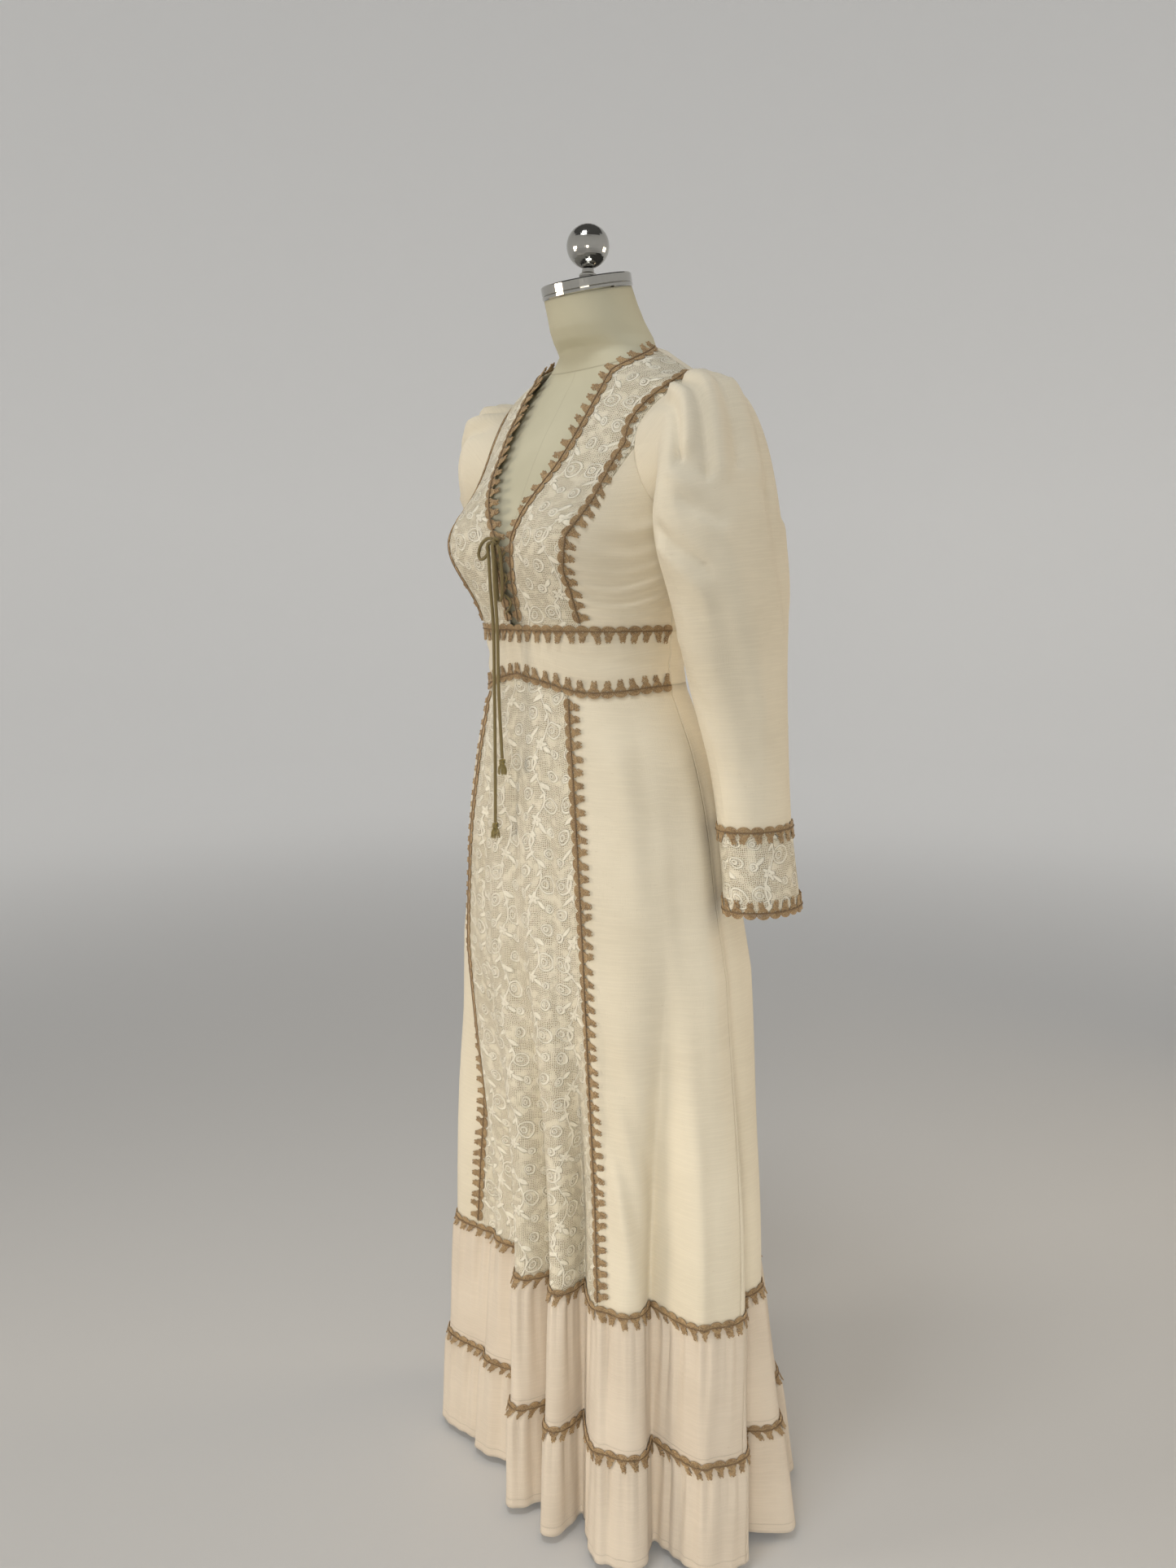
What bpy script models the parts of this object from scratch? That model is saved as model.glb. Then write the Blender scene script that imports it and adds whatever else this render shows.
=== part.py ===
"""A long medieval-style gown of cream cloth and lace, worn by a limbless dress form on a stand.

Metres, +Z up. The gown faces -Y and the wearer's left is +X. The origin is on the floor, under the neck.
Angles run round the body in degrees: 0 is the centre front, 90 the wearer's left.
"""
import bpy
import bmesh
import math
from collections import namedtuple
from mathutils import Matrix, Vector

# Cloth and gaps
CLOTH = 0.0012          # wall of plain cloth
LACE = 0.0015           # wall of lace on its backing
BRAID = 0.0020          # braid, measured outwards
BODY_GAP = 0.0005       # between the body's surface and the cloth over it
FORM_INSET = 0.0058     # how far the form lies inside the body's surface
SEAM_GAP = 0.00025      # each piece stops this short of its seam line
SHOULDER_GAP = 0.00110  # and the bodice at the shoulder seam, where the cloth turns over
FLOUNCE_GAP = 0.00070   # and the flounces at their top seam, where they swell out
BRAID_LIFT = 0.00120    # between the cloth over the form and the braid on it
CUFF_LIFT = 0.00045     # between a sleeve or cuff and the braid on it
FOLD_LIFT = 0.00225     # between the folded cloth of the skirt and the braid on it

# Braid
SCALLOPS = 0.0068       # from the middle of a braid to its scalloped edge
PICOTS = 0.0135         # from the middle of a braid to its picots
BRAID_END = 0.0004      # between the end of one braid and the side of another

# Heights of the seams
UNDERBUST = 1.090
UPPER_SEAM = 0.309
LOWER_SEAM = 0.141
HEM = 0.0105
CUFF_TOP = 0.876
CUFF_HEM = 0.789

Section = namedtuple("Section", "height half_width half_depth middle squareness")
TORSO = [
    Section(0.790, 0.158, 0.106, -0.004, 2.2),
    Section(0.860, 0.164, 0.114, -0.006, 2.2),
    Section(0.940, 0.152, 0.108, -0.012, 2.15),
    Section(1.020, 0.1275, 0.0990, -0.022, 2.1),
    Section(1.090, 0.1290, 0.1005, -0.025, 2.1),
    Section(1.150, 0.1400, 0.1130, -0.022, 2.1),
    Section(1.200, 0.1475, 0.1130, -0.020, 2.15),
    Section(1.250, 0.1500, 0.1040, -0.012, 2.2),
    Section(1.300, 0.1500, 0.0900, -0.002, 2.3),
    Section(1.335, 0.1490, 0.0760, 0.006, 2.3),
    Section(1.356, 0.1430, 0.0680, 0.011, 2.2),
    Section(1.370, 0.1240, 0.0630, 0.015, 2.1),
    Section(1.385, 0.0970, 0.0590, 0.016, 2.05),
    Section(1.402, 0.0690, 0.0570, 0.012, 2.0),
]
Bust = namedtuple("Bust", "angle spread height above below rise")
BUST = Bust(37.0, 23.0, 1.186, 0.060, 0.052, 0.031)

NeckRing = namedtuple("NeckRing", "height middle radius tilt")
NECK = [
    NeckRing(1.415, 0.004, 0.0570, 4.0),
    NeckRing(1.430, -0.006, 0.0540, 8.0),
    NeckRing(1.446, -0.013, 0.0515, 11.0),
    NeckRing(1.4635, -0.020, 0.0500, 12.7),
]
PLATE_THICK = 0.015
PLATE_RADIUS = 0.0515
STEM_RADIUS = 0.010
BALL_RADIUS = 0.024
BALL_HEIGHT = 1.515
POLE_RADIUS = 0.0125
BASE_RADIUS = 0.112
BASE_THICK = 0.008
STAND_MIDDLE = 0.026    # the pole and base stand a little behind the neck
TOUCH = 0.0003          # between hard pieces that rest on each other

COLLECTION = bpy.data.collections.new("Medieval gown on a dress form")


def mix(a, b, share):
    return a + (b - a) * share


def ease(share):
    share = min(1.0, max(0.0, share))
    return share * share * (3.0 - 2.0 * share)


def lookup(rows, at):
    """The row of a table at a value of its first column, on a smooth curve through its rows."""
    keys = [row[0] for row in rows]
    at = min(max(at, keys[0]), keys[-1])
    i = max(j for j in range(len(rows) - 1) if keys[j] <= at)
    span = keys[i + 1] - keys[i]
    s = (at - keys[i]) / span

    def slope(j, column):
        lo, hi = max(0, j - 1), min(len(rows) - 1, j + 1)
        return (rows[hi][column] - rows[lo][column]) / (keys[hi] - keys[lo])

    values = [at]
    for column in range(1, len(rows[0])):
        p, q = rows[i][column], rows[i + 1][column]
        m, n = slope(i, column) * span, slope(i + 1, column) * span
        values.append((2 * s**3 - 3 * s**2 + 1) * p + (s**3 - 2 * s**2 + s) * m
                      + (3 * s**2 - 2 * s**3) * q + (s**3 - s**2) * n)
    return type(rows[0])(*values)


# The body under the cloth

def around(section, angle):
    """Distance from a section's middle to its edge at an angle."""
    s, c = abs(math.sin(math.radians(angle))), abs(math.cos(math.radians(angle)))
    n = section.squareness
    return ((s / section.half_width) ** n + (c / section.half_depth) ** n) ** (-1.0 / n)


def body_point(angle, height):
    section = lookup(TORSO, height)
    angle = (angle + 180.0) % 360.0 - 180.0
    reach = BUST.above if height > BUST.height else BUST.below
    swell = BUST.rise * math.exp(-((height - BUST.height) / reach) ** 2)
    swell *= math.exp(-((abs(angle) - BUST.angle) / BUST.spread) ** 2)
    r = around(section, angle) + swell
    return Vector((r * math.sin(math.radians(angle)),
                   section.middle - r * math.cos(math.radians(angle)), height))


def normal_of(surface, angle, height):
    step_a, step_h = 0.4, 0.001
    along = surface(angle + step_a, height) - surface(angle - step_a, height)
    up = surface(angle, height + step_h) - surface(angle, height - step_h)
    return along.cross(up).normalized()


def over_body(angle, height, lift=BODY_GAP):
    return body_point(angle, height) + normal_of(body_point, angle, height) * lift


def angle_at(x, height):
    """The front angle at which the body is x from its middle line."""
    low, high = 0.0, 90.0
    for _ in range(40):
        guess = (low + high) / 2
        if body_point(guess, height).x < x:
            low = guess
        else:
            high = guess
    return (low + high) / 2


# Blender objects

def material(name, colour, roughness, metallic=0.0):
    made = bpy.data.materials.get(name)
    if made is None:
        made = bpy.data.materials.new(name)
        made.use_nodes = True
        shader = made.node_tree.nodes["Principled BSDF"]
        shader.inputs["Base Color"].default_value = (*colour, 1.0)
        shader.inputs["Roughness"].default_value = roughness
        shader.inputs["Metallic"].default_value = metallic
    return made


def plain_cloth():
    return material("Plain cream cloth", (0.72, 0.65, 0.52), 0.85)


def lace_cloth():
    return material("Cream lace", (0.80, 0.74, 0.61), 0.9)


def braid_yarn():
    return material("Tan braid", (0.30, 0.20, 0.11), 0.8)


def lacing_cord():
    return material("Olive cord", (0.22, 0.17, 0.06), 0.7)


def form_canvas():
    return material("Form canvas", (0.56, 0.53, 0.42), 0.8)


def chrome():
    return material("Chrome", (0.78, 0.78, 0.80), 0.12, 1.0)


def painted_steel():
    return material("Painted steel", (0.10, 0.10, 0.11), 0.4, 0.3)


def place(name, mesh, surface, smooth=True):
    made = bpy.data.objects.new(name, mesh)
    mesh.materials.append(surface)
    if smooth:
        mesh.shade_smooth()
        mesh.set_sharp_from_angle(angle=math.radians(50))
    COLLECTION.objects.link(made)
    return made


def draw_in(grid, closed, sides, top_gap):
    """Moves the edges of a grid of points in from their seam lines."""
    rows, columns = len(grid), len(grid[0])
    drawn = [list(row) for row in grid]
    if not closed:
        for row in range(rows):
            for edge, inner in ((0, 1), (columns - 1, columns - 2)):
                step = grid[row][inner] - grid[row][edge]
                drawn[row][edge] = grid[row][edge] + step.normalized() * SEAM_GAP
    for edge, inner in ((0, 1), (rows - 1, rows - 2)):
        if (edge == 0 and "bottom" in sides) or (edge > 0 and "top" in sides):
            for column in range(columns):
                step = grid[inner][column] - grid[edge][column]
                drawn[edge][column] = drawn[edge][column] + step.normalized() * (top_gap if edge else SEAM_GAP)
    return drawn


def wall(name, grid, thickness, surface, closed=False, sides=("bottom", "top"), top_gap=SEAM_GAP):
    """A wall on the outside of a grid of points: rows run upwards, columns from the wearer's right to left."""
    grid = draw_in(grid, closed, sides, top_gap)
    rows, columns = len(grid) - 1, len(grid[0]) - 1 + (1 if closed else 0)
    shell_wall(name, grid, rows, columns, thickness, surface, closed)


def shell_wall(name, grid, rows, columns, thickness, surface, closed):
    shell = bmesh.new()
    bmesh.ops.create_grid(shell, x_segments=columns, y_segments=rows, size=1.0)
    for vert in shell.verts:
        column = round((vert.co.x + 1) / 2 * columns)
        row = round((vert.co.y + 1) / 2 * rows)
        vert.co = grid[row][column % len(grid[0])]
    if closed:
        bmesh.ops.remove_doubles(shell, verts=shell.verts, dist=0.00001)
    mesh = bpy.data.meshes.new(name)
    shell.to_mesh(mesh)
    shell.free()
    made = place(name, mesh, surface)
    solid = made.modifiers.new("Cloth thickness", "SOLIDIFY")
    solid.thickness = thickness
    solid.offset = 1.0
    return made


# The dress form and its stand

def neck_ring(ring, count):
    tilt = math.radians(ring.tilt)
    points = []
    for i in range(count):
        angle = math.radians(-180.0 + 360.0 * i / count)
        x, forward = ring.radius * math.sin(angle), ring.radius * math.cos(angle)
        points.append(Vector((x, ring.middle - forward * math.cos(tilt),
                              ring.height - forward * math.sin(tilt))))
    return points


def build_form():
    count = 28
    heights = [0.790, 0.805, 0.860, 0.930, 0.985, 1.030, 1.080, 1.120, 1.150, 1.180, 1.215,
               1.255, 1.295, 1.325, 1.345, 1.356, 1.366, 1.378, 1.390, 1.402]
    rings = [[over_body(-180.0 + 360.0 * i / count, height, -FORM_INSET) for i in range(count)]
             for height in heights]
    rings[0] = [Vector((p.x * 0.93, p.y * 0.93, p.z)) for p in rings[0]]
    rings += [neck_ring(ring, count) for ring in NECK]
    shell = bmesh.new()
    bmesh.ops.create_grid(shell, x_segments=count, y_segments=len(rings) - 1, size=1.0)
    for vert in shell.verts:
        column = round((vert.co.x + 1) / 2 * count)
        row = round((vert.co.y + 1) / 2 * (len(rings) - 1))
        vert.co = rings[row][column % count]
    bmesh.ops.remove_doubles(shell, verts=shell.verts, dist=0.00001)
    bmesh.ops.holes_fill(shell, edges=[edge for edge in shell.edges if edge.is_boundary])
    bmesh.ops.recalc_face_normals(shell, faces=shell.faces)
    mesh = bpy.data.meshes.new("form_torso")
    shell.to_mesh(mesh)
    shell.free()
    place("form_torso", mesh, form_canvas())


def round_bar(name, radius, low, high, sides, surface, middle=0.0, tilt=0.0):
    bpy.ops.mesh.primitive_cylinder_add(vertices=sides, radius=radius, depth=high - low)
    made = bpy.context.object
    made.data.transform(Matrix.Rotation(math.radians(tilt), 4, "X"))
    made.location = (0.0, middle, (low + high) / 2)
    made.name = made.data.name = name
    made.data.materials.append(surface)
    made.data.shade_smooth()
    made.data.set_sharp_from_angle(angle=math.radians(40))
    for collection in made.users_collection:
        collection.objects.unlink(made)
    COLLECTION.objects.link(made)
    return made


def build_stand():
    neck = NECK[-1]
    tilt = math.radians(neck.tilt)
    plate_low = neck.height + TOUCH
    plate = round_bar("neck_plate", PLATE_RADIUS, plate_low, plate_low + PLATE_THICK, 36, chrome(),
                      tilt=neck.tilt)
    plate.location = (0.0, neck.middle - math.sin(tilt) * (TOUCH + PLATE_THICK / 2),
                      neck.height + math.cos(tilt) * (TOUCH + PLATE_THICK / 2))
    behind = STEM_RADIUS + neck.middle - plate.location.y
    stem_low = plate.location.z + (PLATE_THICK / 2) / math.cos(tilt) + behind * math.tan(tilt) + TOUCH
    ball_low = BALL_HEIGHT - BALL_RADIUS - TOUCH
    stem = round_bar("finial_stem", STEM_RADIUS, stem_low, ball_low, 16, chrome(), middle=neck.middle)
    # The stem's foot is cut to the plate's slope, so it stands on it all round.
    foot = stem_low - stem.location.z
    for vert in stem.data.vertices:
        if abs(vert.co.z - foot) < 0.0005:
            vert.co.z = foot - (STEM_RADIUS - vert.co.y) * math.tan(tilt)
    bpy.ops.mesh.primitive_uv_sphere_add(segments=16, ring_count=10, radius=BALL_RADIUS)
    ball = bpy.context.object
    ball.name = ball.data.name = "finial_ball"
    ball.location = (0.0, neck.middle, BALL_HEIGHT)
    ball.data.materials.append(chrome())
    ball.data.shade_smooth()
    for collection in ball.users_collection:
        collection.objects.unlink(ball)
    COLLECTION.objects.link(ball)
    round_bar("stand_pole", POLE_RADIUS, BASE_THICK + TOUCH, TORSO[0].height - TOUCH, 16, painted_steel(),
              middle=STAND_MIDDLE)
    round_bar("stand_base", BASE_RADIUS, 0.0, BASE_THICK, 40, painted_steel(), middle=STAND_MIDDLE)


# The bodice: pieces are patches of the body's surface between four edge curves of (angle, height)

Edge = namedtuple("Edge", "x height")
NECK_EDGE = [
    Edge(0.0085, UNDERBUST), Edge(0.0105, 1.140), Edge(0.0150, 1.190), Edge(0.0300, 1.216),
    Edge(0.0540, 1.262), Edge(0.0620, 1.300), Edge(0.0655, 1.340), Edge(0.0650, 1.370),
]
PANEL_EDGE = [
    Edge(0.0870, UNDERBUST), Edge(0.0870, 1.120), Edge(0.0930, 1.155), Edge(0.1030, 1.190),
    Edge(0.1140, 1.232),
]
Pair = namedtuple("Pair", "angle height")
SHOULDER = [Pair(88.0, 1.3560), Pair(88.0, 1.3980)]
Armhole = namedtuple("Armhole", "middle height half_depth half_height lean")
ARMHOLE = Armhole(-0.008, 1.283, 0.056, 0.072, 0.20)
PANEL_LEAVES = 0.0      # turn at which the lace's edge leaves the armhole
SIDE_SEAM = 96.0
BACK_NECK = 1.392
Fold = namedtuple("Fold", "height rise")
SIDE_FOLDS = [Fold(1.108, 0.0030), Fold(1.128, 0.0034), Fold(1.148, 0.0028), Fold(1.168, 0.0016)]
FOLD_SAG = 0.010
FOLD_WIDTH = 0.0055


def neck_line(share):
    """A point (angle, height) part of the way up the neck edge, from the seam under the bust."""
    points = [(angle_at(edge.x, edge.height), edge.height) for edge in NECK_EDGE]
    return along_pairs(points + [tuple(SHOULDER[-1])], share)


def panel_line(share):
    """A point part of the way up the lace's outer edge, from the seam under the bust to the armhole."""
    points = [(angle_at(edge.x, edge.height), edge.height) for edge in PANEL_EDGE]
    return along_pairs(points + [armhole_pair(PANEL_LEAVES)], share)


def along_pairs(points, share):
    """Part of the way along a list of (angle, height) pairs, by distance on the body."""
    places = [body_point(*pair) for pair in points]
    lengths = [0.0]
    for a, b in zip(places, places[1:]):
        lengths.append(lengths[-1] + (b - a).length)
    target = share * lengths[-1]
    i = max(j for j in range(len(points) - 1) if lengths[j] <= target + 1e-9)
    part = (target - lengths[i]) / (lengths[i + 1] - lengths[i])
    a, b = points[i], points[i + 1]
    return (mix(a[0], b[0], part), mix(a[1], b[1], part))


def shoulder_line(share):
    """A point part of the way up the shoulder seam, from its tip to the neck."""
    return along_pairs([tuple(pair) for pair in SHOULDER], share)


def armhole_pair(turn):
    """The (angle, height) of the armhole at a turn: 0 is its front, 90 its top, 180 its back."""
    height = ARMHOLE.height + ARMHOLE.half_height * math.sin(math.radians(turn))
    y = ARMHOLE.middle - ARMHOLE.half_depth * math.cos(math.radians(turn)) + ARMHOLE.lean * (height - ARMHOLE.height)
    low, high = 20.0, 160.0
    for _ in range(40):
        guess = (low + high) / 2
        if body_point(guess, height).y < y:
            low = guess
        else:
            high = guess
    return ((low + high) / 2, height)


def patch(bottom, top, left, right, across, up, side=1, relief=None):
    """Points over a four-sided patch. Its edges are functions of a share that give (angle, height)."""
    grid = []
    for v in up:
        row = []
        for u in across:
            corners = [(1 - u) * (1 - v), u * (1 - v), (1 - u) * v, u * v]
            ends = [bottom(0.0), bottom(1.0), top(0.0), top(1.0)]
            pair = []
            for k in (0, 1):
                value = (1 - v) * bottom(u)[k] + v * top(u)[k] + (1 - u) * left(v)[k] + u * right(v)[k]
                pair.append(value - sum(c * e[k] for c, e in zip(corners, ends)))
            lift = BODY_GAP + (relief(u, pair[1]) if relief else 0.0)
            row.append(over_body(side * pair[0], pair[1], lift))
        grid.append(row if side > 0 else row[::-1])
    return grid


def shares(count):
    return [i / count for i in range(count + 1)]


LOWER_ROWS = [0.0, 0.06, 0.12, 0.19, 0.26, 0.34, 0.43, 0.53, 0.68, 0.84, 1.0]
PANEL_SHARE = 0.62      # share of the lace's height below the armhole
UPPER_ROWS = [0.68, 0.74, 0.80, 0.86, 0.92, 1.0]
BACK_ROWS = [0.0, 0.12, 0.24, 0.36, 0.48, 0.60, 0.70, 0.78, 0.84, 0.89, 0.93, 1.0]
SIDE_SHARE = 0.36       # share of the back's height below the armhole
LACE_COLUMNS, SIDE_COLUMNS, BACK_COLUMNS = 5, 6, 9
SHOULDER_SHARE = LACE_COLUMNS / BACK_COLUMNS    # share of the back's top that is the shoulder seam


def side_line(share):
    under_arm = armhole_pair(-90.0)
    return (mix(SIDE_SEAM, under_arm[0], share), mix(UNDERBUST, under_arm[1], share))


def armhole_line(turn):
    """A point on the armhole, whose top is drawn to the shoulder seam."""
    pair = armhole_pair(turn)
    drawn = ease((80.0 - abs(turn - 90.0)) / 80.0)
    return (mix(pair[0], SHOULDER[0].angle, drawn), mix(pair[1], SHOULDER[0].height, drawn))


def build_bodice():
    """Returns the grids of the lace and side pieces, for the braid."""
    grids = {}
    split, foot = angle_at(PANEL_EDGE[0].x, UNDERBUST), neck_line(0.0)[0]

    def lace_outer(v):
        if v <= PANEL_SHARE:
            return panel_line(v / PANEL_SHARE)
        return armhole_line(mix(PANEL_LEAVES, 90.0, (v - PANEL_SHARE) / (1 - PANEL_SHARE)))

    def drag(u, height):
        """Folds pulled across the side of the bodice, from the braid to the side seam."""
        total = 0.0
        for fold in SIDE_FOLDS:
            sag = fold.height - FOLD_SAG * math.sin(math.pi * u)
            total += fold.rise * math.exp(-((height - sag) / FOLD_WIDTH) ** 2)
        return total * math.sin(math.pi * u)

    def back_top(u):
        """Up the shoulder seam to the neck, then round the back of the neck."""
        if u <= SHOULDER_SHARE:
            return shoulder_line(u / SHOULDER_SHARE)
        part = (u - SHOULDER_SHARE) / (1 - SHOULDER_SHARE)
        return (mix(SHOULDER[-1].angle, 180.0, part), mix(SHOULDER[-1].height, BACK_NECK, part))

    def back_side(v):
        if v < SIDE_SHARE:
            return side_line(v / SIDE_SHARE)
        return armhole_line(mix(270.0, 90.0, (v - SIDE_SHARE) / (1 - SIDE_SHARE)))

    for side, word in ((1, "left"), (-1, "right")):
        lace = patch(lambda u: (mix(foot, split, u), UNDERBUST),
                     lambda u: shoulder_line(1.0 - u), neck_line, lace_outer,
                     shares(LACE_COLUMNS), [PANEL_SHARE * row for row in LOWER_ROWS] + UPPER_ROWS, side)
        wall("bodice_lace_" + word, lace, LACE, lace_cloth(), top_gap=SHOULDER_GAP)
        plain = patch(lambda u: (mix(split, SIDE_SEAM, u), UNDERBUST),
                      lambda u: armhole_line(mix(PANEL_LEAVES, -90.0, u)), panel_line, side_line,
                      shares(SIDE_COLUMNS), LOWER_ROWS, side, drag)
        wall("bodice_side_" + word, plain, CLOTH, plain_cloth())
        back = patch(lambda u: (mix(SIDE_SEAM, 180.0, u), UNDERBUST), back_top, back_side,
                     lambda v: (180.0, mix(UNDERBUST, BACK_NECK, v)), shares(BACK_COLUMNS), BACK_ROWS, side)
        wall("bodice_back_" + word, back, CLOTH, plain_cloth(), top_gap=SHOULDER_GAP)
        grids["lace_" + word], grids["side_" + word] = lace, plain
    return grids


# The midriff band

Waist = namedtuple("Waist", "angle height")
WAIST_LINE = [Waist(0, 1.042), Waist(25, 1.033), Waist(50, 1.023), Waist(90, 1.029), Waist(180, 1.030)]


def waist_height(angle):
    return lookup(WAIST_LINE, abs((angle + 180.0) % 360.0 - 180.0)).height


def build_midriff():
    def band(angles):
        return [[over_body(angle, mix(waist_height(angle), UNDERBUST, v)) for angle in angles]
                for v in (0.0, 0.5, 1.0)]

    # The front's columns meet those of the bodice above it.
    foot, split = neck_line(0.0)[0], angle_at(PANEL_EDGE[0].x, UNDERBUST)
    half = [mix(foot, split, share) for share in shares(LACE_COLUMNS)]
    half += [mix(split, SIDE_SEAM, share) for share in shares(SIDE_COLUMNS)[1:]]
    front = band([-angle for angle in reversed(half)] + half)
    back = [mix(SIDE_SEAM, 180.0, share) for share in shares(8)]
    wall("midriff_front", front, CLOTH, plain_cloth())
    wall("midriff_back_left", band(back), CLOTH, plain_cloth())
    wall("midriff_back_right", band([-angle for angle in reversed(back)]), CLOTH, plain_cloth())
    return front


# The skirt and its two flounces

SKIRT = [
    Section(0.700, 0.194, 0.142, -0.004, 2.1),
    Section(0.780, 0.184, 0.135, -0.006, 2.1),
    Section(0.870, 0.174, 0.126, -0.009, 2.15),
    Section(0.950, 0.156, 0.115, -0.015, 2.1),
    Section(1.020, 0.1300, 0.1015, -0.0222, 2.1),
    Section(1.045, 0.1300, 0.1018, -0.0229, 2.1),
]
Flute = namedtuple("Flute", "angle seam hem")
FLUTES = [
    Flute(-180, 0.205, 0.232), Flute(-166, 0.160, 0.172), Flute(-151, 0.212, 0.240),
    Flute(-137, 0.168, 0.184), Flute(-122, 0.222, 0.250), Flute(-107, 0.188, 0.200),
    Flute(-93, 0.220, 0.238), Flute(-80, 0.180, 0.194), Flute(-67, 0.207, 0.234),
    Flute(-53, 0.135, 0.166), Flute(-34, 0.090, 0.104), Flute(-18, 0.098, 0.112),
    Flute(-3, 0.126, 0.142), Flute(10, 0.080, 0.090), Flute(24, 0.126, 0.152),
    Flute(37, 0.086, 0.100), Flute(50, 0.150, 0.182), Flute(61, 0.168, 0.195),
    Flute(72, 0.146, 0.158), Flute(82, 0.222, 0.234), Flute(92, 0.232, 0.246),
    Flute(101, 0.204, 0.212), Flute(111, 0.214, 0.264), Flute(124, 0.172, 0.204),
    Flute(137, 0.196, 0.250), Flute(151, 0.158, 0.182), Flute(166, 0.202, 0.236),
    Flute(180, 0.205, 0.232),
]
FOLDS_FROM = 0.870
FLUTE_SHARPNESS = 1.35
LaceEdge = namedtuple("LaceEdge", "height right left")
LACE_EDGES = [
    LaceEdge(0.309, -58, 48), LaceEdge(0.450, -56, 47), LaceEdge(0.600, -50, 45),
    LaceEdge(0.750, -45, 43), LaceEdge(0.880, -41, 41), LaceEdge(1.040, -37, 39),
]
SKIRT_ROWS = [UPPER_SEAM, UPPER_SEAM + SCALLOPS, 0.480, 0.640, 0.800, 0.930, None]
PANELS = [("skirt_back_right", 12), ("skirt_side_right", 8), ("skirt_front_lace", 19),
          ("skirt_side_left", 11), ("skirt_back_left", 14)]
SKIRT_SIDES = (-93.0, 92.0)     # the side seams where the flounce begins, on the crests of folds
WAIST_GAP = 0.0004
GATHER = 0.0050
FLOUNCE_PUFF = 0.007


def flute_radius(angle, hem_share):
    angle = (angle + 180.0) % 360.0 - 180.0
    i = max(j for j in range(len(FLUTES) - 1) if FLUTES[j].angle <= angle)
    a, b = FLUTES[i], FLUTES[i + 1]
    share = (angle - a.angle) / (b.angle - a.angle)
    ra, rb = mix(a.seam, a.hem, hem_share), mix(b.seam, b.hem, hem_share)
    # Crests are broad and valleys narrow.
    share = share**FLUTE_SHARPNESS if ra > rb else 1.0 - (1.0 - share) ** FLUTE_SHARPNESS
    return mix(ra, rb, ease(share))


def skirt_point(angle, height):
    section = lookup(SKIRT, height)
    fullness = ease((FOLDS_FROM - height) / (FOLDS_FROM - UPPER_SEAM)) ** 1.1
    hem_share = max(0.0, (UPPER_SEAM - height) / (UPPER_SEAM - HEM))
    r = mix(around(section, angle), flute_radius(angle, hem_share), fullness)
    middle = section.middle * (1.0 - fullness)
    return Vector((r * math.sin(math.radians(angle)), middle - r * math.cos(math.radians(angle)), height))


def seam_angles():
    """Angles of every column at the upper seam, evenly spaced along the folded cloth in each piece."""
    edges = skirt_edges(UPPER_SEAM)
    columns = []
    for (_, count), low, high in zip(PANELS, edges, edges[1:]):
        fine = [mix(low, high, share) for share in shares(400)]
        lengths = [0.0]
        for a, b in zip(fine, fine[1:]):
            lengths.append(lengths[-1] + (skirt_point(b, UPPER_SEAM) - skirt_point(a, UPPER_SEAM)).length)
        for i in range(count):
            target = lengths[-1] * i / count
            j = max(k for k in range(400) if lengths[k] <= target)
            columns.append(mix(fine[j], fine[j + 1], (target - lengths[j]) / (lengths[j + 1] - lengths[j])))
    return columns


def skirt_edges(height):
    lace = lookup(LACE_EDGES, height)
    up = (height - UPPER_SEAM) / (WAIST_LINE[-1].height - UPPER_SEAM)
    right, left = mix(SKIRT_SIDES[0], -SIDE_SEAM, up), mix(SKIRT_SIDES[1], SIDE_SEAM, up)
    return [-180.0, right, lace.right, lace.left, left, 180.0]


def skirt_grid(seams):
    """Points of the whole skirt: rows up from the upper seam, a column for each seam angle."""
    base = skirt_edges(UPPER_SEAM)
    grid = []
    for height in SKIRT_ROWS:
        row = []
        for angle in seams:
            i = max(j for j in range(5) if base[j] <= angle + 1e-6)
            share = (angle - base[i]) / (base[i + 1] - base[i])
            edges = skirt_edges(height or WAIST_LINE[-1].height)
            turned = mix(edges[i], edges[i + 1], share)
            row.append(skirt_point(turned, height or waist_height(turned) - WAIST_GAP))
        grid.append(row)
    return grid


def flounce_grid(seams, top, bottom, free_hem):
    """A gathered strip: twice as many columns as its seam, every second one drawn in."""
    Level = namedtuple("Level", "share gather puff")
    under_braid = 1.0 - PICOTS / (top - bottom)
    foot = Level(0.0, 0.5, 0.3) if free_hem else Level(0.0, 0.0, 0.0)
    levels = [Level(1.0, 0.0, 0.0), Level(under_braid, 1.0, 1.0), foot]
    grid = []
    for level in reversed(levels):
        height = mix(bottom, top, level.share)
        ring = []
        for angle in seams:
            out = Vector((math.sin(math.radians(angle)), -math.cos(math.radians(angle)), 0.0))
            ring.append(skirt_point(angle, height) + out * (FLOUNCE_PUFF * level.puff))
        row = []
        for i, point in enumerate(ring):
            after = ring[(i + 1) % len(ring)]
            inwards = Vector((point.y - after.y, after.x - point.x, 0.0)).normalized()
            row += [point, (point + after) / 2 + inwards * (GATHER * level.gather)]
        grid.append(row)
    return grid


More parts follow.
